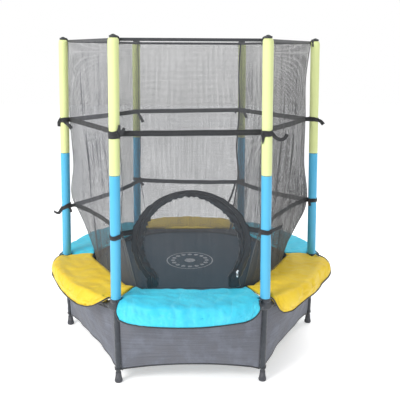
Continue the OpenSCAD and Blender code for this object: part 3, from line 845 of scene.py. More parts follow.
def net_out(k, t, z):
    """Distance of face k's net from the centre, at t from -1 to 1 between its corners, at a height."""
    corner = net_corner(k, t, z)
    x = corner / 2 * t
    chord = corner * math.cos(math.radians(30))
    middle = np.interp(z, FACE_Z, FACE_IN)
    low = smooth(z, 0.70, 0.45)
    # How far of the way from the straight chord to the middle's distance the net goes, at t
    if k == FRONT:
        flat = 1 - smooth(np.abs(t), 0.84, 1.0)
        loose = 1 - t ** 2
        bump = flat + (loose - flat) * smooth(z, 1.10, 1.45)
    else:
        bump = 1 - np.abs(t) ** (2 + low)
        middle = middle - 0.008 * (1 - low) * (1 - smooth(z, STRAP_HIGH, NET_HIGH))
    out = chord + (middle - chord) * bump
    # The folds are deepest halfway up. They fade at the straps, the corners, both hems and the doorway.
    sway = np.sin(math.pi * np.clip((z - NET_LOW) / (NET_HIGH - NET_LOW), 0, 1)) * 0.6 + 0.4
    held = 1 - 0.7 * np.exp(-((z - STRAP_LOW) / 0.05) ** 2) - 0.7 * np.exp(-((z - STRAP_HIGH) / 0.05) ** 2)
    edge = smooth(1 - np.abs(t), 0.0, 0.12)
    edge = edge * smooth(z, NET_LOW, NET_LOW + 0.12) * smooth(z, NET_HIGH, NET_HIGH - 0.10)
    if k == FRONT:
        up = z - NET_LOW
        away = np.sqrt(x ** 2 + (up - DOOR_UP) ** 2)
        edge = edge * smooth(away, 0.29, 0.42) * smooth(z, 0.55, 0.75)
    for start, end, width, size in FOLDS[k]:
        centre = start + (end - start) * (NET_HIGH - z) / (NET_HIGH - NET_LOW)
        out = out + size * np.exp(-((t - centre) / width) ** 2) * sway * held * edge
    # Low down, the net stays inside the pads' inner edges
    limit = 0.529 + 1.2 * np.clip(z - PAD_TOP, 0, 1)
    return np.minimum(out, np.sqrt(np.maximum(limit ** 2 - x ** 2, 0.01)))


def net_point(k, t, z):
    """A point of the net of face k, at t from -1 to 1 between its corners and at a height."""
    t, z = np.broadcast_arrays(np.asarray(t, float), np.asarray(z, float))
    return on_face(k, net_corner(k, t, z) / 2 * t, net_out(k, t, z), z)


def front_point(x, up, lift=0.0):
    """A point of the front net at x across it and up it from the hem, lifted off it outward."""
    x, up = np.broadcast_arrays(np.asarray(x, float), np.asarray(up, float))
    z = NET_LOW + up * math.cos(NET_LEAN)
    t = np.clip(x / (through(z, CORNER_Z, CORNER_R) / 2), -1, 1)
    out = net_out(FRONT, t, z)
    return on_face(FRONT, x, out + lift * math.cos(NET_LEAN), z - lift * math.sin(NET_LEAN))


def net_face(k, low, high, name):
    """The net of one face between two heights."""
    columns, rows = 56 if FACES[k] in FOLD_COUNT else 120, int((high - low) / 0.011)
    t = np.linspace(-1, 1, columns)[:, None]
    z = np.linspace(low, high, rows)[None]
    across = net_corner(k, t, z) / 2 * t
    build = Build()
    build.grid(net_point(k, t, z), np.stack(np.broadcast_arrays(across, z), -1))
    return build.make(name, NETS[FACES[k]])


def declare_net(piece, nodes, slack):
    """Hides the CAD nodes that a net stands for. A net with slack has its place baked into its points; one
    without rides on the frame.
    """
    if slack:
        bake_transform(piece)
    else:
        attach(piece, "frame")
    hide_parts(*nodes)


def door_edge(angle, grow):
    """How far the doorway's outline is from the arc's centre, at an angle, grown outward by an amount."""
    r = DOOR_R + grow
    leg = DOOR_LEG_X + grow
    drop = DOOR_UP - HINGE_UP + grow
    angle = np.asarray(angle, float)
    c, s = np.cos(angle), np.sin(angle)
    low = s < -math.sin(DOOR_SPREAD) * 0.999
    with np.errstate(divide="ignore"):
        side = np.where(np.abs(c) > 1e-6, leg / np.maximum(np.abs(c), 1e-6), 9.0)
        floor = np.where(s < 0, drop / np.maximum(-s, 1e-6), 9.0)
    return np.where(low, np.minimum(side, floor), np.minimum(r, floor))


def door_angles(count, extra=()):
    """Angles once round the doorway, with its corners among them."""
    leg = -DOOR_SPREAD
    toe = math.atan2(HINGE_UP - DOOR_UP, DOOR_LEG_X)
    marks = [leg, toe, math.pi - toe, math.pi - leg, *extra]
    angles = [(m + math.pi / 2) % (2 * math.pi) - math.pi / 2 for m in marks]
    for a in np.linspace(-math.pi / 2, 1.5 * math.pi, count, endpoint=False):
        if all(abs((a - m + math.pi) % (2 * math.pi) - math.pi) > 0.012 for m in marks):
            angles.append(a)
    return np.array(sorted(angles))


def front_lower_net():
    """The front net from the hem to the upper straps, round the doorway."""
    top = (STRAP_HIGH - NET_LOW) / math.cos(NET_LEAN)

    def half_width(up):
        return float(through(NET_LOW + up * math.cos(NET_LEAN), CORNER_Z, CORNER_R)) / 2

    corners = [math.atan2(up - DOOR_UP, side * half_width(up)) for up in (0.0, top) for side in (-1, 1)]
    angles = door_angles(180, corners)
    inner = door_edge(angles, 0.0015)
    # Where the ray at each angle leaves the face, found by halving
    outer = []
    for a in angles:
        c, s = math.cos(a), math.sin(a)
        near, far = 0.0, (top - DOOR_UP) / s if s > 1e-6 else (DOOR_UP / -s if s < -1e-6 else 2.0)
        for _ in range(30):
            reach = (near + far) / 2
            if reach * abs(c) < half_width(DOOR_UP + reach * s):
                near = reach
            else:
                far = reach
        outer.append(reach)
    outer = np.array(outer)
    r = inner[:, None] + (outer - inner)[:, None] * np.linspace(0, 1, 26)[None]
    x, up = r * np.cos(angles)[:, None], DOOR_UP + r * np.sin(angles)[:, None]
    build = Build()
    build.grid(front_point(x, up)[::-1], np.stack([x, NET_LOW + up], -1)[::-1], loop_u=True)
    return build.make("net_front_lower", NETS["front"])


def door_net():
    """The flap's net, a little slack between its edges."""
    angles = door_angles(150)
    edge = door_edge(angles, -0.0015)
    share = np.linspace(0.04, 1, 26)[None]
    r = edge[:, None] * share
    x, up = r * np.cos(angles)[:, None], DOOR_UP + r * np.sin(angles)[:, None]
    ripple = waves(71, 6, 0.07, 0.30)
    slack = (1 - share ** 2) * (0.0035 * ripple(x, up) - 0.003)
    points = front_point(x, up, slack)
    n, m = points.shape[:2]
    middle = front_point(0.0, DOOR_UP, 0.0035 * ripple(0.0, DOOR_UP) - 0.003)
    fan = [(n * m, i * m, ((i + 1) % n) * m) for i in range(n)]
    faces = [tuple(reversed(f)) for f in grid_faces(n, m, loop_u=True)]
    uv = np.concatenate([np.stack([x, NET_LOW + up], -1).reshape(-1, 2), [[0.0, NET_LOW + DOOR_UP]]])
    build = Build()
    build.add(np.concatenate([points.reshape(-1, 3), middle.reshape(1, 3)]), faces + fan, uv)
    return build.make("door_net", NETS["front"], "door")


def make_nets():
    for k in SIX:
        if k != FRONT:
            piece = net_face(k, NET_LOW, NET_HIGH, "net_" + FACES[k])
            declare_net(piece, ["enclosure_net"], True)
    upper = net_face(FRONT, STRAP_HIGH, NET_HIGH, "net_front_upper")
    declare_net(upper, ["enclosure_net"], False)
    lower = front_lower_net()
    declare_net(lower, ["front_net_panel"], True)
    door = door_net()
    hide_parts("door_flap")


def net_bindings():
    """The bound top edge and its ties to the caps, the seams down the corners and the hem at the mat."""
    t = np.linspace(-1, 1, 40)[:-1]
    top = np.concatenate([net_point(k, t, NET_HIGH - 0.0045) for k in SIX])
    build = Build()
    build.ribbon(top, UP, 0.013, 0.0028, closed=True)
    # A tie round each cap, with its knot and tail
    for i in SIX:
        rng = random.Random(400 + i)
        out, along = axes_at(60 * i)
        centre, r = post_at(i, FOAM_HIGH + 0.0050), CAP_R + 0.0014
        build.ribbon(ellipse(centre, out, along, r, r, 32), UP, 0.009, 0.0018, closed=True)
        corner = net_point(i, -1, NET_HIGH - 0.003)
        side = along if (along @ (1, 0, 0)) * (out @ (-1, 0, 0)) > 0 else -along
        knot = centre - out * 0.016 + side * 0.012 - UP * 0.006
        for start in (centre - out * r + along * 0.006, centre - out * r - along * 0.006):
            steps = np.linspace(0, 1, 6)[:, None]
            build.ribbon(start + (corner - start) * steps, UP, 0.009, 0.0018)
        build.tube(twist(knot, side, UP, out, (0.0045, 0.0055, 0.002), 18), 0.0038, 10, flat=0.8)
        tail = [knot + side * 0.004 - UP * 0.026 * q + side * 0.006 * q * rng.uniform(0.6, 1.4)
                for q in np.linspace(0, 1, 8)]
        build.ribbon(tail, out + side * 0.3, 0.008, 0.0012)
    piece = build.make("net_top_binding", BINDING, "frame")
    for name, look, width, posts in (
            ("net_seam_dark", BINDING, 0.009, {0: STRAP_HIGH, 1: NET_LOW}),
            ("net_seams", NET_SEAM, 0.0035, dict.fromkeys([0, 2, 3, 4, 5], NET_LOW))):
        build = Build()
        for i, low in posts.items():
            lift = 0.0014 if i == 0 and look is BINDING else 0.0010
            path = np.stack([net_point(i, -1, z) + polar(60 * i, lift)
                             for z in np.linspace(low + 0.004, NET_HIGH - 0.006, 90)])
            build.ribbon(path, polar(60 * i + 90, 1.0), width, 0.0018)
        piece = build.make(name, look)
        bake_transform(piece)
    build = Build()
    hem = np.concatenate([net_point(k, t, NET_LOW + 0.0015) for k in SIX])
    build.ribbon(hem, UP, 0.006, 0.003, closed=True)
    piece = build.make("net_hem_binding", BINDING, "mat")


# Zip and its cover -------------------------------------------------------------------------

ZIP_LENGTH = 1.30
# Widths of the cover's two halves at even steps along the zip, from left to right
FIXED_WIDTHS = [0.021, 0.024, 0.024, 0.014, 0.011, 0.016, 0.028, 0.036, 0.052]
FLAP_WIDTHS = [0.028, 0.030, 0.031, 0.025, 0.020, 0.034, 0.031, 0.018, 0.004]


def zip_path(count):
    """Points along the zip from left to right: length so far, place on the front net, outward direction."""
    leg = DOOR_LEG_UP - HINGE_UP
    arc = DOOR_R * (math.pi + 2 * DOOR_SPREAD)
    s = np.linspace(0, 2 * leg + arc, count)
    x = np.zeros(count)
    up = np.zeros(count)
    out = np.zeros((count, 2))
    for n, d in enumerate(s):
        if d < leg:
            x[n], up[n], out[n] = -DOOR_LEG_X, HINGE_UP + d, (-1, 0)
        elif d > leg + arc:
            x[n], up[n], out[n] = DOOR_LEG_X, DOOR_LEG_UP - (d - leg - arc), (1, 0)
        else:
            a = math.pi + DOOR_SPREAD - (d - leg) / DOOR_R
            x[n], up[n] = DOOR_R * math.cos(a), DOOR_UP + DOOR_R * math.sin(a)
            out[n] = (math.cos(a), math.sin(a))
    return s, x, up, out


def cover_half(name, body, node, sign, widths, rise, seed, lowest):
    """One half of the zip's cover: a soft creased strip beside the zip, with its widths along the zip."""
    count, columns = 240, 13
    s, x, up, out = zip_path(count)
    share = s / s[-1]
    crease = waves(seed, 9, 0.030, 0.085)
    fine = waves(seed + 1, 7, 0.016, 0.040)
    width = through(share, np.linspace(0, 1, len(widths)), widths)
    width = width + 0.0028 * fine(s, 0 * s) * smooth(width, 0.010, 0.022)
    v = np.linspace(0, 1, columns)[None]
    reach = sign * (0.0004 + v * (width[:, None] - 0.0004))
    px, pup = x[:, None] + out[:, :1] * reach, up[:, None] + out[:, 1:] * reach
    pup = np.maximum(pup, lowest)
    # The strip stands up between its edges, and the flap's half lies flat beside the fold
    body_shape = np.sqrt(np.clip(1 - (2 * v - 1) ** 4, 0, 1))
    puffed = 0.0012 + rise * (0.5 + 0.5 * np.tanh(1.4 * crease(s[:, None], v * 0.10)))
    fold = smooth(pup, lowest, lowest + 0.050) if body == "door" else 1.0
    lift = 0.0010 + body_shape * puffed * (0.15 + 0.85 * fold)
    points = front_point(px, pup, lift)
    uv = np.stack(np.broadcast_arrays(s[:, None], reach), -1)
    build = Build()
    if sign < 0:
        points, uv = points[:, ::-1], uv[:, ::-1]
    build.shell(points[::-1], 0.0009, uv[::-1])
    piece = build.make(name, ZIP_CLOTH)
    if body == "door":
        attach(piece, body)
    else:
        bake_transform(piece)
    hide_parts(node)
    return piece


def zip_teeth(name, body, sign):
    """One side's moulded teeth, along the zip."""
    build = Build()
    pitch = 0.0030
    _, x, up, out = zip_path(int(ZIP_LENGTH / pitch))
    tooth = np.array([0.0026, 0.0014, 0.0018])
    for n in np.flatnonzero(up > HINGE_UP + (0.010 if body == "door" else 0.0)):
        place = front_point(x[n] + out[n, 0] * sign * 0.0018, up[n] + out[n, 1] * sign * 0.0018, 0.0009)
        radial = np.array([out[n, 0], 0, out[n, 1]])
        radial /= np.linalg.norm(radial)
        build.box(place, radial, np.cross((0, -1, 0), radial), (0, -1, 0), tooth)
    piece = build.make(name, TEETH_PLASTIC, body, flat_shaded=True)
    return piece


def zip_slider():
    """The slider, and the moulded pull that hangs from it, both given the pull's white plastic."""
    normal = np.array([0, -math.cos(NET_LEAN), -math.sin(NET_LEAN)])
    upward = np.array([0, -math.sin(NET_LEAN), math.cos(NET_LEAN)])
    across = np.array([1.0, 0, 0])
    path_r = DOOR_R + 0.012
    half = 0.0140
    centre = front_point(path_r * math.cos(SLIDER_AT), DOOR_UP + path_r * math.sin(SLIDER_AT), 0.0)
    radial = across * math.cos(SLIDER_AT) + upward * math.sin(SLIDER_AT)
    along = np.cross(normal, radial)
    build = Build()
    build.box(centre + normal * 0.0044, radial, along, normal, (0.0080, 0.0150, 0.0026))
    build.box(centre + normal * 0.0060, radial, along, normal, (0.0034, 0.0110, 0.0018))
    loop = [centre + normal * (0.0062 + 0.0018 * math.sin(a)) + along * 0.0038 * math.cos(a)
            for a in np.linspace(0, math.pi, 12)]
    build.tube(loop, 0.0008, 8, up=radial)
    body = build.make("zip_slider_body", PULL_PLASTIC, "slider")
    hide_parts("zip_slider")
    build = Build()
    top = centre + normal * 0.0062
    outline = []
    for a in round_angles(40):
        wide = 0.0042 if math.sin(a) < 0 else 0.0032
        outline.append((wide * math.cos(a), half * math.copysign(abs(math.sin(a)) ** 0.45, math.sin(a))))
    rings = []
    for lift, shrink in ((0.0, 0.86), (0.0005, 1.0), (0.0015, 1.0), (0.0020, 0.86), (0.0016, 0.55)):
        middle = top - upward * (half + 0.001) + normal * lift
        rings.append([middle + (across * x + upward * y) * shrink for x, y in outline])
    rings = np.array(rings)
    n, m = rings.shape[:2]
    faces = grid_faces(n, m, loop_v=True) + [tuple(reversed(range(m))), tuple(range((n - 1) * m, n * m))]
    build.add(rings, [tuple(reversed(f)) for f in faces])
    pull = build.make("zip_pull", PULL_PLASTIC, "slider")


def make_door():
    """The zip round the doorway: its two covers, its tape and teeth, and its slider."""
    fixed = cover_half("zip_cover_fixed", "frame", "door_zip_cover", 1, FIXED_WIDTHS, 0.0016, 91, 0.041)
    moving = cover_half("zip_cover_flap", "door", "door_flap_band", -1, FLAP_WIDTHS, 0.0065, 95,
                        HINGE_UP + 0.004)
    s, x, up, out = zip_path(240)
    build = Build()
    rows = [front_point(x + out[:, 0] * q, up + out[:, 1] * q, -0.0008) for q in (0.0002, 0.004, 0.008)]
    uv = [np.stack([s, 0 * s + q], -1) for q in (0, 0.004, 0.009)]
    build.shell(np.stack(rows, 1)[::-1], 0.0006, np.stack(uv, 1))
    tape = build.make("zip_tape", ZIP_CLOTH, "frame")
    zip_teeth("zip_teeth_fixed", "frame", 1)
    zip_teeth("zip_teeth_flap", "door", -1)
    zip_slider()


# Straps ------------------------------------------------------------------------------------


# How far each level of straps is above or below its usual height at each post
STRAP_RISE = {
    STRAP_HIGH: [0.0, -0.006, -0.016, -0.006, -0.003, 0.004],
    STRAP_LOW: [0.014, -0.009, 0.003, -0.013, -0.004, 0.010],
}
# How much lower a face's strap ends at its first post and at its second
STRAP_DIP = {(STRAP_LOW, 3): (0.0, 0.014), (STRAP_LOW, 5): (0.022, 0.0)}
# Ties: height from the strap, slant of the band to the right, its width, and loose tails. A tail is a width
# at each end and places along it from the post's axis, to the right, back and up.
TIES = {
    (STRAP_HIGH, 0): (0.0, -0.15, 0.021, [
        (0.017, 0.020, [(0.018, -0.016, -0.003), (0.034, -0.014, -0.010), (0.050, -0.012, -0.027)]),
    ]),
    (STRAP_HIGH, 1): (0.0, 0.0, 0.021, [
        (0.016, 0.016, [(0.008, -0.026, -0.006), (0.018, -0.028, -0.024), (0.030, -0.026, -0.050)]),
        (0.018, 0.020, [(-0.020, -0.022, 0.0), (-0.034, -0.024, -0.006), (-0.048, -0.024, -0.016)]),
    ]),
    (STRAP_HIGH, 2): (0.0, 0.0, 0.021, [
        (0.014, 0.020, [(0.012, -0.026, -0.010), (0.026, -0.024, -0.036), (0.040, -0.020, -0.068)]),
    ]),
    (STRAP_HIGH, 3): (0.0, 0.05, 0.025, [
        (0.018, 0.016, [(-0.019, -0.018, 0.0), (-0.027, -0.016, -0.014), (-0.028, -0.014, -0.034)]),
        (0.018, 0.022, [(0.004, -0.027, -0.006), (0.022, -0.032, -0.020), (0.042, -0.034, -0.042)]),
    ]),
    (STRAP_HIGH, 4): (0.0, 0.03, 0.034, [
        (0.020, 0.009, [(0.018, -0.021, 0.006), (0.025, -0.025, 0.024), (0.026, -0.026, 0.044)]),
        (0.022, 0.012, [(0.022, -0.020, 0.0), (0.036, -0.024, 0.012), (0.047, -0.024, 0.032)]),
    ]),
    (STRAP_HIGH, 5): (0.0, 0.1, 0.026, [
        (0.019, 0.004, [(-0.018, -0.019, -0.006), (-0.020, -0.022, -0.024), (-0.021, -0.022, -0.044)]),
        (0.016, 0.017, [(0.020, -0.012, 0.0), (0.038, -0.018, -0.019), (0.058, -0.020, -0.026),
            (0.076, -0.016, -0.018), (0.084, -0.012, -0.002)]),
    ]),
    (STRAP_LOW, 0): (0.0, 0.05, 0.021, [
        (0.018, 0.014, [(-0.018, -0.018, -0.002), (-0.021, -0.023, -0.014), (-0.018, -0.024, -0.030)]),
    ]),
    (STRAP_LOW, 1): (0.0, 0.0, 0.021, [
        (0.018, 0.018, [(-0.020, -0.022, 0.0), (-0.034, -0.024, -0.006), (-0.048, -0.024, -0.010)]),
        (0.011, 0.014, [(-0.018, 0.024, -0.004), (-0.034, 0.028, -0.026), (-0.048, 0.028, -0.076),
            (-0.066, 0.026, -0.130), (-0.086, 0.024, -0.178), (-0.096, 0.022, -0.236)]),
    ]),
    (STRAP_LOW, 2): (0.0, 0.0, 0.021, [
        (0.015, 0.020, [(0.014, -0.024, -0.006), (0.027, -0.022, -0.022), (0.042, -0.018, -0.040)]),
    ]),
    (STRAP_LOW, 3): (-0.008, 0.48, 0.023, [
        (0.019, 0.013, [(-0.019, -0.016, -0.008), (-0.030, -0.014, -0.024), (-0.040, -0.012, -0.036),
            (-0.055, -0.010, -0.034), (-0.066, -0.008, -0.026)]),
        (0.012, 0.012, [(0.020, -0.016, -0.004), (0.028, -0.018, -0.016), (0.029, -0.018, -0.030)]),
    ]),
    (STRAP_LOW, 4): (0.0, 0.1, 0.021, []),
    (STRAP_LOW, 5): (0.010, 0.04, 0.022, [
        (0.015, 0.017, [(0.018, -0.018, 0.002), (0.030, -0.024, 0.012), (0.048, -0.026, 0.022),
            (0.070, -0.022, 0.028)]),
    ]),
}


def strap_path(k, level, start, end):
    """The middle of a strap on the net of face k, between two places from -1 to 1 along it."""
    t = np.linspace(start, end, max(4, int(abs(end - start) * 30)))
    rise = STRAP_RISE[level]
    first, second = STRAP_DIP.get((level, k), (0.0, 0.0))
    z = level + (rise[k] - first) * (1 - t) / 2 + (rise[(k + 1) % 6] - second) * (1 + t) / 2
    return net_point(k, t, z) + polar(60 * k + 30, STRAP_T)


def strap_ring(build, level, faces):
    """Webbing sewn along the outside of the net on some faces in turn."""
    parts = [strap_path(k, level, -1.0, 1.0) for k in faces]
    path = np.concatenate([parts[0]] + [part[1:] for part in parts[1:]])
    closed = len(faces) == 6
    build.ribbon(path[:-1] if closed else path, UP, STRAP_W, STRAP_T, closed=closed)


def tie(build, i, level):
    """A strap end led round post i and knotted beside it, with its loose tails."""
    lift, slant, wide, tails = TIES[level, i]
    out, along = axes_at(60 * i)
    z = level + STRAP_RISE[level][i]
    centre = post_at(i, z + lift)
    r = FOAM_R + 0.0009
    # The band round the foam, and a second turn over it
    angles = round_angles(48)
    path = ellipse(centre, out, along, r, r, 48)
    path[:, 2] += slant * (path[:, 0] - centre[0]) + 0.0010 * np.sin(3 * angles + i)
    build.ribbon(path, UP, wide + 0.002 * np.sin(2 * angles + i), 0.0018, closed=True)
    over = path + UP * 0.004 * np.sin(angles + i)[:, None] + (path - centre) * (0.06, 0.06, 0)
    build.ribbon(over, UP, wide * 0.62, 0.0014, closed=True)
    corner = net_point(i, -1, z)
    inner = centre - out * r
    # Its two ends, from the net's corner to the band
    for side in (-1, 1):
        start = corner + along * 0.0065 * side + out * 0.0006
        end = inner + along * 0.013 * side + out * 0.004
        steps = np.linspace(0, 1, 8)[:, None]
        link = start + (end - start) * steps + UP * 0.0015 * side * np.sin(math.pi * steps)
        build.ribbon(link, UP, 0.021 - 0.004 * np.sin(math.pi * steps[:, 0]), STRAP_T)
    # A knot at the start of each tail, and the tail
    for first, last, places in tails:
        places = np.array(places)
        lump = twist(centre + places[0], polar(0, 1.0), UP, polar(90, 1.0), (0.0042, 0.0075, 0.0030), 22)
        build.tube(lump, 0.0042, 10, flat=0.75)
        marks = np.linspace(0, 1, len(places))
        steps = np.linspace(0, 1, 16)
        path = centre + np.stack([through(steps, marks, places[:, axis]) for axis in range(3)], -1)
        across = np.cross(tangents(path), (0.15, 1.0, 0.25))
        build.ribbon(path, across, first + (last - first) * steps, 0.0015)


def make_straps():
    """Both levels of straps with their ties. The lower one stops at the zip's cover on both sides."""
    build = Build()
    strap_ring(build, STRAP_HIGH, list(SIX))
    for i in SIX:
        tie(build, i, STRAP_HIGH)
    upper = build.make("straps_upper", WEBBING, "frame")
    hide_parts("upper_straps")
    build = Build()
    strap_ring(build, STRAP_LOW, [5, 0, 1, 2, 3])
    half = float(through(STRAP_LOW, CORNER_Z, CORNER_R)) / 2
    up = (STRAP_LOW - NET_LOW) / math.cos(NET_LEAN)
    reach = math.sqrt((DOOR_R + 0.022) ** 2 - (up - DOOR_UP) ** 2) / half
    for start, end in ((-1.0, -reach), (reach, 1.0)):
        build.ribbon(strap_path(FRONT, STRAP_LOW, start, end), UP, STRAP_W, STRAP_T)
    for i in SIX:
        tie(build, i, STRAP_LOW)
    lower = build.make("straps_lower", WEBBING, "frame")
    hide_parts("lower_straps")


# Cover pads --------------------------------------------------------------------------------

PAD_T = 0.014
FLAP_T = 0.0045
# Radius of the bend from a pad's level part to its flap, and the level part's width
SHOULDER = 0.045
LEVEL = PAD_OUT - SHOULDER - PAD_IN
# Marks down a pad's flap, from 0 at its shoulder to 1 at its hem
FLAP_MARKS = [0.0, 0.3, 0.55, 0.8, 0.93, 1.0]
# For the two ends of each pad: how many degrees short of the post's line it stops at each mark, and how far
# its hem stands out. Then how far its hem is above its usual height, at RISE_MARKS along it.
RISE_MARKS = [-1.0, -0.6, 0.0, 0.6, 1.0]
PLAIN_END = ([2.0, 2.8, 3.6, 5.2, 7.0, 9.5], 0.004)
PAD_SHAPES = {
    "front": (([2.1, 2.5, 2.9, 3.8, 4.8, 7.5], 0.007), ([3.1, 4.0, 4.4, 6.1, 8.0, 10.4], -0.010),
              [0.0, -0.001, 0.002, 0.004, 0.001]),
    "front_right": (([2.1, 2.2, 2.9, 4.7, 6.8, 10.7], -0.010), ([4.6, 8.2, 11.0, 12.6, 13.2, 13.5], 0.030),
                    [-0.010, 0.016, 0.020, 0.027, 0.036]),
    "front_left": (([2.2, 5.6, 8.0, 9.2, 10.2, 11.6], 0.008), ([1.9, 3.0, 5.0, 8.2, 11.3, 15.2], 0.004),
                   [0.026, 0.038, 0.026, 0.018, 0.016]),
    "rear_right": (PLAIN_END, PLAIN_END, [0.001, 0.004, 0.0, 0.002, 0.001]),
    "rear": (PLAIN_END, PLAIN_END, [0.0, 0.0, 0.002, 0.004, 0.001]),
    "rear_left": (PLAIN_END, PLAIN_END, [0.001, 0.003, 0.0, 0.005, 0.001]),
}


def pad_profile(d):
    """Distance from the centre and height of a pad's face, at a distance d from its inner edge's circle."""
    quarter = SHOULDER * math.pi / 2
    a = np.clip((d - LEVEL) / SHOULDER, 0, math.pi / 2)
    over = np.maximum(d - LEVEL - quarter, 0)
    r = PAD_IN + np.minimum(d, LEVEL) + SHOULDER * np.sin(a)
    z = PAD_TOP - SHOULDER * (1 - np.cos(a)) - over
    return r + over * 0.06, z


# Length of a pad's cloth from its inner edge over the shoulder to its hem
PAD_REACH = LEVEL + SHOULDER * math.pi / 2 + (PAD_TOP - SHOULDER - PAD_HEM)


def pad_half_angle(d, cuts):
    """Half the angle in degrees that a pad spans at d from its inner edge, at one end."""
    r = pad_profile(d)[0]
    full = 29.72
    notch_r = FOAM_R + 0.0045
    near = np.abs(r - FRAME_R)
    bite = np.degrees(np.arcsin(np.sqrt(np.maximum(notch_r ** 2 - near ** 2, 0)) / np.maximum(r, 0.1)))
    down = np.clip((d - LEVEL - 0.004) / (PAD_REACH - LEVEL - 0.004), 0, 1)
    cut = through(down, FLAP_MARKS, cuts) * smooth(r, FRAME_R, FRAME_R + 0.020)
    return full - np.maximum(bite, cut)


def pad_place(k, u, d):
    """Point of pad k's face, its angle and radius. u is -1 to 1 along it, d down from its inner edge."""
    (cuts_a, flare_a), (cuts_b, flare_b), rises = PAD_SHAPES[FACES[k]]
    u, d = np.broadcast_arrays(np.asarray(u, float), np.asarray(d, float))
    r, z = pad_profile(d)
    half = np.where(u < 0, pad_half_angle(d, cuts_a), pad_half_angle(d, cuts_b))
    angle = np.radians(half * u)
    down = smooth(d, LEVEL - 0.05, PAD_REACH)
    flare = np.where(u < 0, flare_a, flare_b) * smooth(np.abs(u), 0.25, 1.0) * down
    raised = through(u, RISE_MARKS, rises) * down
    inner = np.minimum((PAD_IN + 0.0035) / np.cos(angle), PAD_CORNER_R)
    radius = r + (inner - PAD_IN) * np.clip(1 - d / 0.16, 0, 1) + flare
    return on_face(k, radius * np.sin(angle), radius * np.cos(angle), z + raised), angle, radius


def pad_surface(k, columns, rows):
    """A grid over the top of pad k, from its inner edge to its hem, with its cloth coordinates."""
    # The columns are closer together towards the pad's ends
    u = np.linspace(-1, 1, columns)
    u = np.sin(u * math.pi / 2 * 0.55) / math.sin(math.pi / 2 * 0.55)
    d = np.linspace(0, PAD_REACH, rows)
    points, angle, radius = pad_place(k, u[:, None], d[None])
    uv = np.stack([radius * angle, d[None] + 0 * angle], -1)
    return points, uv, d


def pad_build(k, columns=110, rows=48):
    """The closed shape of pad k: foam on its level part, and a thin flap that hangs from its shoulder."""
    points, uv, d = pad_surface(k, columns, rows)
    flap = smooth(d, LEVEL + 0.01, LEVEL + 0.07)
    foam = PAD_T * (1 - flap) + FLAP_T * flap
    thickness = np.broadcast_to(foam[None, :, None], points.shape[:2] + (1,)).copy()
    # The rim is rounded off over its outer five columns and four rows
    edge = np.minimum.reduce([
        np.minimum(np.arange(columns), np.arange(columns)[::-1])[:, None] / 5.0 + 0 * d[None],
        np.minimum(np.arange(rows), np.arange(rows)[::-1])[None] / 4.0 + np.zeros((columns, 1)),
        np.ones((columns, rows))])
    round_off = np.sqrt(np.clip(1 - (1 - edge) ** 2, 0, 1))
    thickness *= 0.35 + 0.65 * round_off[..., None]
    outward = normals(points)
    if outward[columns // 2, rows // 4, 2] < 0:
        points, uv, thickness, outward = points[::-1], uv[::-1], thickness[::-1], -outward[::-1]
    top = points - outward * (PAD_T * 0.5 * (1 - round_off)[..., None]) * np.minimum(thickness / PAD_T, 1)
    build = Build()
    build.shell(top, thickness, uv)
    return build


# How long the pads' cloth is simulated, and how far a point may move at most
SIM_FRAMES = 16
SIM_CAP = 0.0075


def points_of(piece):
    return np.array([v.co for v in piece.data.vertices])


def move_points(piece, points):
    piece.data.vertices.foreach_set("co", points.astype(np.float32).ravel())
    piece.data.update()


def puff(piece, border):
    """Swells a pad as sewn cloth round foam does, keeping its bound edge still."""
    rest = points_of(piece)
    group = piece.vertex_groups.new(name="held")
    for start in range(0, len(rest), 4000):
        part = rest[start:start + 4000]
        gap = np.min(np.linalg.norm(part[:, None] - border[None, ::2], axis=2), axis=1)
        for n, g in enumerate(gap):
            if g < 0.010:
                group.add([start + n], 1.0, "REPLACE")
    cloth = piece.modifiers.new("cloth", "CLOTH")
    cloth.settings.effector_weights.gravity = 0
    cloth.settings.use_pressure = True
    cloth.settings.uniform_pressure_force = 4
    cloth.settings.shrink_min = -0.035
    cloth.settings.vertex_group_mass = "held"
    cloth.settings.quality = 5
    cloth.settings.tension_stiffness = 12
    cloth.settings.bending_stiffness = 0.6
    cloth.point_cache.frame_end = SIM_FRAMES
    scene = bpy.context.scene
    for n in range(1, SIM_FRAMES + 1):
        scene.frame_set(n)
    apply_modifiers(piece)
    scene.frame_set(1)
    moved = points_of(piece) - rest
    size = np.linalg.norm(moved, axis=1, keepdims=True)
    moved *= np.minimum(1, SIM_CAP / np.maximum(size, 1e-9))
    move_points(piece, rest + moved)
    piece.vertex_groups.clear()


def pad_shape(piece, k):
    """Presses the swelled pad back into its room: clear of the ring, and of the door when that is open."""
    co = points_of(piece)
    r = np.hypot(co[:, 0], co[:, 1])
    floor = RING_HIGH + 0.0045
    level = r < PAD_OUT - SHOULDER * 0.8
    co[:, 2] = np.where(level, np.maximum(co[:, 2], floor), co[:, 2])
    # The flap lies over the front pad when it is open, and rises a little outward from its fold
    if k == FRONT:
        away = np.maximum(-co[:, 1] - NET_IN, 0)
        room = NET_LOW + HINGE_UP * math.cos(NET_LEAN) - 0.0040
        room = room + 0.115 * away - 0.0072 * smooth(away, 0.0, 0.050)
        co[:, 2] = np.minimum(co[:, 2], room)
    move_points(piece, co)


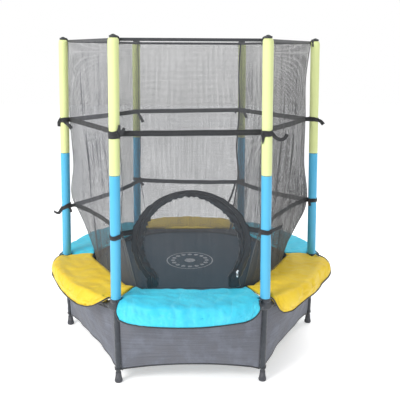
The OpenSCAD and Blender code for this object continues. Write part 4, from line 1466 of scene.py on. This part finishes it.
def crumple(piece, k):
    """Adds the creases of cloth that has been packed, except close to the hem."""
    co = points_of(piece)
    a = math.radians(60 * k + 30)
    x = -co[:, 0] * math.sin(a) + co[:, 1] * math.cos(a)
    out = co[:, 0] * math.cos(a) + co[:, 1] * math.sin(a)
    drop = np.maximum(PAD_TOP - co[:, 2], 0)
    run = out + drop
    slow = waves(700 + k, 6, 0.10, 0.30)
    quick = waves(720 + k, 8, 0.035, 0.09)
    folds = waves(740 + k, 5, 0.05, 0.12)
    size = 0.0022 * slow(x, run) + 0.0011 * quick(x, run)
    size = size + 0.0016 * folds(x * 1.6, run * 0.35) * smooth(run, 0.62, 0.75)
    held = smooth(np.abs(run - (PAD_OUT + PAD_TOP - PAD_HEM)), 0.0, 0.02)
    normal = np.array([v.normal for v in piece.data.vertices])
    above = np.sign(normal @ np.array([math.cos(a), math.sin(a), 1.2]))
    push = np.tile([0.55 * math.cos(a), 0.55 * math.sin(a), 1.0], (len(co), 1))
    push[:, :2] *= smooth(run, 0.70, 0.76)[:, None]
    move_points(piece, co + push * (size * held * np.where(above > 0, 1.0, 0.6))[:, None])


def pad_border(k):
    """The bound outer edge of pad k, from one notch along the hem to the other."""
    d = np.linspace(FRAME_R + 0.012 - PAD_IN, PAD_REACH, 60)
    sides = [pad_place(k, side, d)[0] for side in (-1.0, 1.0)]
    hem = pad_place(k, np.linspace(-1, 1, 90), PAD_REACH)[0]
    return np.concatenate([sides[0], hem[1:-1], sides[1][::-1]])


def make_pads():
    """The six pads with their piping, blue and yellow in turn."""
    for k in SIX:
        piece = pad_build(k).make("pad_cover_" + FACES[k], COVERS[k % 2])
        border = pad_border(k)
        puff(piece, border)
        crumple(piece, k)
        pad_shape(piece, k)
        piece.data.polygons.foreach_set("use_smooth", [True] * len(piece.data.polygons))
        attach(piece, "frame")
        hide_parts("pad_" + FACES[k])
        # The piping is drawn in a little towards the pad's middle
        build = Build()
        centre = on_face(k, np.zeros(1), np.full(1, 0.63), PAD_TOP - 0.03)[0]
        inward = centre - border
        inward /= np.linalg.norm(inward, axis=1, keepdims=True)
        build.tube(border + inward * 0.0004, 0.0037, 8)
        trim = build.make("pad_piping_" + FACES[k], PIPING, "frame")


# Mat and springs ---------------------------------------------------------------------------


SPRING_ANGLES = [10 * n + 5 for n in range(36)]


def make_mat():
    """The jumping mat, a shallow dish of woven cloth with a sewn double edge."""
    rings = np.concatenate([np.linspace(0.004, MAT_R - 0.034, 40), [MAT_R - 0.032, MAT_R - 0.030],
                            np.linspace(MAT_R - 0.028, MAT_R - 0.001, 8)])
    angle = round_angles(180)
    ripple = waves(801, 7, 0.12, 0.40)
    points = []
    for r in rings:
        x, y = r * np.cos(angle), r * np.sin(angle)
        dish = -0.0016 * (1 - (r / MAT_R) ** 2)
        edge = 0.0010 if r > MAT_R - 0.031 else 0.0
        z = MAT_HIGH - 0.0012 + dish + edge + 0.0006 * ripple(x, y) * (1 - (r / MAT_R) ** 6)
        points.append(np.stack([x, y, z + 0 * x], -1))
    points = np.stack(points)
    n, m = points.shape[:2]
    back = points - np.array([0, 0, 0.0016])
    faces = grid_faces(n, m, loop_v=True)
    last, under = (n - 1) * m, n * m
    faces += [tuple(i + under for i in reversed(f)) for f in faces]
    for j in range(m):
        here, there = last + j, last + (j + 1) % m
        faces.append((here, here + under, there + under, there))
    faces += [tuple(reversed(range(m))), tuple(range(under, under + m))]
    build = Build()
    build.add(np.concatenate([points.reshape(-1, 3), back.reshape(-1, 3)]), faces)
    piece = build.make("mat_sheet", MAT_CLOTH, "mat")
    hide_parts("jumping_mat")
    build = Build()
    band_w = 0.027
    band_r = MAT_R * 1.001 * (1 - band_w / 2 / MAT_R)
    band = ellipse(UP * (MAT_LOW - 0.0004), polar(0, 1.0), polar(90, 1.0), band_r, band_r, len(angle))
    build.ribbon(band, band * (1, 1, 0), band_w, 0.0018, closed=True)
    eye_r = 0.0034
    for degrees in SPRING_ANGLES:
        out, along = axes_at(degrees)
        eye = out * (MAT_R + 0.004) + UP * (MAT_LOW + 0.0013)
        turn = np.linspace(-2.6, 2.6, 16)[:, None]
        loop = eye + out * eye_r * np.cos(turn) + UP * eye_r * np.sin(turn)
        loop = np.concatenate([[out * (MAT_R - 0.012) + UP * (MAT_LOW - 0.0018)], loop])
        build.ribbon(loop, along, 0.013, 0.0012)
    band = build.make("mat_edge_webbing", WEBBING, "mat")
    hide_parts("mat_edge_band")


# The springs' hooks, on the mat's ring and in the frame's hole: distance from the centre, to the side and up
MAT_HOOK = [(0.566, 0, -0.009), (0.566, 0, -0.003), (0.567, 0, 0.0005), (0.571, 0, 0.0018),
            (0.580, 0, 0.0015), (0.586, 0.002, 0.0035), (0.590, 0.0035, 0.0050)]
FRAME_HOOK = [(0.6555, 0.0035, 0.0050), (0.659, 0.0015, 0.0030), (0.664, 0, 0.0008), (0.676, 0, 0.0),
              (0.682, 0, 0.0012), (0.684, 0, 0.0055)]


def make_springs():
    """Coil springs with hooks, each reaching from its ring on the mat to its hole in the frame."""
    coil_r, wire_r = 0.0066, 0.0012
    start, end = 0.592, 0.653
    coils, steps = 16, 14
    turn = np.linspace(0, coils * 2 * math.pi, coils * steps + 1)
    along_coil = np.linspace(start, end, len(turn))
    coil = np.stack([along_coil, coil_r * np.sin(turn + 0.6), coil_r * np.cos(turn + 0.6)], -1)
    for n, degrees in enumerate(SPRING_ANGLES):
        out, along = axes_at(degrees)
        at = lambda r, side, up: out * r + along * side + UP * (RING_Z + up)
        build = Build()
        build.tube([at(*place) for place in (*MAT_HOOK, *coil, *FRAME_HOOK)], wire_r, 6, up=out)
        piece = build.make(f"spring_{n:02d}", WIRE_STEEL)
        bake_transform(piece)
        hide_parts("springs")
    build = Build()
    base_r, tip_r, half = MAT_R + 0.004, MAT_R + 0.031, 0.012
    corners = [(base_r, -half), (base_r, half), (tip_r, 0.0)]
    height = UP * (MAT_LOW + MAT_HIGH) / 2
    for degrees in SPRING_ANGLES:
        out, along = axes_at(degrees)
        path = []
        for (r0, s0), (r1, s1) in zip(corners, corners[1:] + corners[:1]):
            for q in (0.12, 0.5, 0.88):
                path.append(out * (r0 + (r1 - r0) * q) + along * (s0 + (s1 - s0) * q) + height)
        build.tube(path, 0.0016, 8, closed=True)
    rings = build.make("v_ring_wires", WIRE_STEEL, "mat", subdivide=1)
    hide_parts("v_rings")


# Skirt -------------------------------------------------------------------------------------

SKIRT_TOP = RING_LOW - 0.003
# The hem's height at the legs, and how much higher it is between them
SKIRT_HEM = 0.060
SKIRT_ARCH = 0.025
SLEEVE_R = 0.0142


def skirt_point(k, u, v, wave):
    """A point of skirt panel k: u from -1 to 1 along it, v from 0 at the hem to 1 at the ring."""
    half, turn = FRAME_R / 2 - SLEEVE_R, math.radians(30) - math.asin(SLEEVE_R / FRAME_R)
    hem_x, hem_out = u * half, FRAME_R * math.cos(math.radians(30)) + 0 * u
    hem_z = SKIRT_HEM + SKIRT_ARCH * (1 - u ** 2) + 0.0025 * wave(u * 0.35, 0 * u)
    top_x, top_out = FRAME_R * np.sin(u * turn), FRAME_R * np.cos(u * turn)
    x = hem_x + (top_x - hem_x) * v
    out = hem_out + (top_out - hem_out) * v
    z = hem_z + (SKIRT_TOP - hem_z) * v
    free = smooth(1 - np.abs(u), 0, 0.15) * smooth(1 - v, 0, 0.2)
    out = out + free * 0.0045 * wave(u * 0.35, v * 0.08) - free * 0.006 * (1 - v)
    return on_face(k, x, out, z)


def make_skirt():
    """The six skirt panels, each with its hem, its top tape and the loops that hold it to the ring."""
    for k in SIX:
        wave = waves(900 + k, 6, 0.08, 0.30)
        u = np.linspace(-1, 1, 60)[:, None]
        v = np.linspace(0, 1, 30)[None]
        points = skirt_point(k, u, v, wave)
        uv = np.stack(np.broadcast_arrays(u * FRAME_R / 2, v * 0.31), -1)
        build = Build()
        build.shell(points, 0.0010, uv)
        piece = build.make("skirt_" + FACES[k], SKIRT_CLOTH, "frame")
        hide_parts("leg_skirt")
        build = Build()
        for v, width, thickness in ((0.012, 0.008, 0.0030), (0.985, 0.010, 0.0026)):
            build.ribbon(skirt_point(k, np.linspace(-1, 1, 60), np.full(60, v), wave), UP, width, thickness)
        ring_r = RING_HIGH - RING_Z + 0.0016
        for spot in np.linspace(-0.85, 0.85, 8):
            out = skirt_point(k, np.array([spot]), np.array([0.97]), wave)[0] * (1, 1, 0)
            out /= np.linalg.norm(out)
            loop = ellipse(out * FRAME_R + UP * RING_Z, -UP, out, ring_r, ring_r, 29)
            build.ribbon(loop, np.cross(out, UP), 0.012, 0.0014, closed=True)
        trim = build.make("skirt_hem_" + FACES[k], BINDING, "frame")


def make_leg_sleeves():
    """Cloth tubes that the legs pass through, with a seam down each side and an elastic loop at the foot."""
    build = Build()
    low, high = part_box("leg_sleeves")[0].z, SKIRT_TOP - 0.002
    angle = round_angles(28)[None, :, None]
    z = np.linspace(low, high, 60)[:, None, None]
    seams = 1 + 0.07 * np.abs(np.sin(angle)) ** 6
    uv = np.concatenate(np.broadcast_arrays(z, angle * 0.015), -1)
    for i in SIX:
        wrinkle = waves(950 + i, 6, 0.02, 0.09)
        out, along = axes_at(60 * i)
        r = 0.0137 + 0.0006 * wrinkle(angle * 0.012, z)
        walls = []
        for size in (r, r - 0.0010):
            ring = size * 0.96 * np.cos(angle) * out + size * seams * np.sin(angle) * along
            walls.append(out * FRAME_R + ring + UP * z)
        outside, inside = walls
        loop = np.concatenate([outside, inside[::-1], outside[:1]])
        build.grid(loop[:, ::-1], np.concatenate([uv, uv[::-1], uv[:1]])[:, ::-1], loop_v=True)
    piece = build.make("leg_sleeve_cloth", SLEEVE_CLOTH)
    weld(piece)
    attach(piece, "frame")
    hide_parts("leg_sleeves")
    build = Build()
    for i in SIX:
        centre = polar(60 * i, FRAME_R, low + 0.004)
        out, along = axes_at(60 * i)
        ring = ellipse(centre, out, along, 0.0150, 0.0158, 31)
        ring[:, 2] += 0.001 * np.sin(2 * round_angles(31))
        build.ribbon(ring, UP, 0.008, 0.0016, closed=True)
        for side in (-1, 1):
            eye = centre + along * side * 0.0195 - out * 0.003 - UP * 0.002
            build.tube(ellipse(eye, along, UP, 0.0045, 0.0045, 17), 0.0011, 6, closed=True)
    loops = build.make("leg_sleeve_loops", BINDING, "frame")


# Stage -------------------------------------------------------------------------------------


def make_stage():
    """A pale floor, soft lights, and a backdrop that looks white but lights the object less."""
    floor = Look("floor", linear(250, 250, 250), 0.8, Emission_Color=(1, 1, 1, 1), Emission_Strength=0.45)
    floor.bump(floor.noise(floor.place(), 40.0), 0.0002, 0.1)
    mesh = bpy.data.meshes.new("floor")
    size = 14.0
    corners = [(-size, -size, 0), (size, -size, 0), (size, size, 0), (-size, size, 0)]
    mesh.from_pydata(corners, [], [(0, 1, 2, 3)])
    mesh.materials.append(floor.material)
    piece = bpy.data.objects.new("floor", mesh)
    bpy.context.scene.collection.objects.link(piece)

    scene = bpy.context.scene
    world = bpy.data.worlds.new("studio")
    world.use_nodes = True
    tree = world.node_tree
    sky = tree.nodes["Background"]
    sky.inputs["Color"].default_value = (0.97, 0.98, 1.0, 1)
    sky.inputs["Strength"].default_value = 0.62
    backdrop = tree.nodes.new("ShaderNodeBackground")
    backdrop.inputs["Color"].default_value = (1, 1, 1, 1)
    seen = tree.nodes.new("ShaderNodeLightPath").outputs["Is Camera Ray"]
    mix = tree.nodes.new("ShaderNodeMixShader")
    tree.links.new(seen, mix.inputs[0])
    tree.links.new(sky.outputs[0], mix.inputs[1])
    tree.links.new(backdrop.outputs[0], mix.inputs[2])
    tree.links.new(mix.outputs[0], tree.nodes["World Output"].inputs["Surface"])
    scene.world = world
    scene.view_settings.view_transform = "Standard"

    def area(name, place, aim, size, power):
        light = bpy.data.lights.new(name, "AREA")
        light.shape = "SQUARE"
        light.size = size
        light.energy = power
        lamp = bpy.data.objects.new(name, light)
        lamp.location = place
        lamp.rotation_euler = (Vector(aim) - Vector(place)).to_track_quat("-Z", "Y").to_euler()
        scene.collection.objects.link(lamp)

    area("key", (-3.1, -3.0, 3.5), (0, 0, 0.7), 2.0, 160)
    area("fill", (2.6, -3.2, 2.2), (0, 0, 0.7), 3.0, 10)
    area("top", (1.7, 1.6, 4.0), (0.2, 0, 0.5), 3.0, 75)


def make_camera():
    """Stands where the reference view was taken from: 3 m in front, at 1.53 m, looking a little down."""
    data = bpy.data.cameras.new("camera")
    data.sensor_width = 36.0
    data.lens = 50.65
    camera = bpy.data.objects.new("camera", data)
    camera.location = (-0.0230, -2.995, 1.527)
    camera.rotation_euler = (math.radians(90 - 14.70), math.radians(-0.29), math.radians(-1.43))
    bpy.context.scene.collection.objects.link(camera)
    bpy.context.scene.camera = camera


make_camera()
make_stage()
finish_hard_parts()
make_posts()
make_nets()
net_bindings()
make_door()
make_straps()
make_pads()
make_mat()
make_springs()
make_skirt()
make_leg_sleeves()
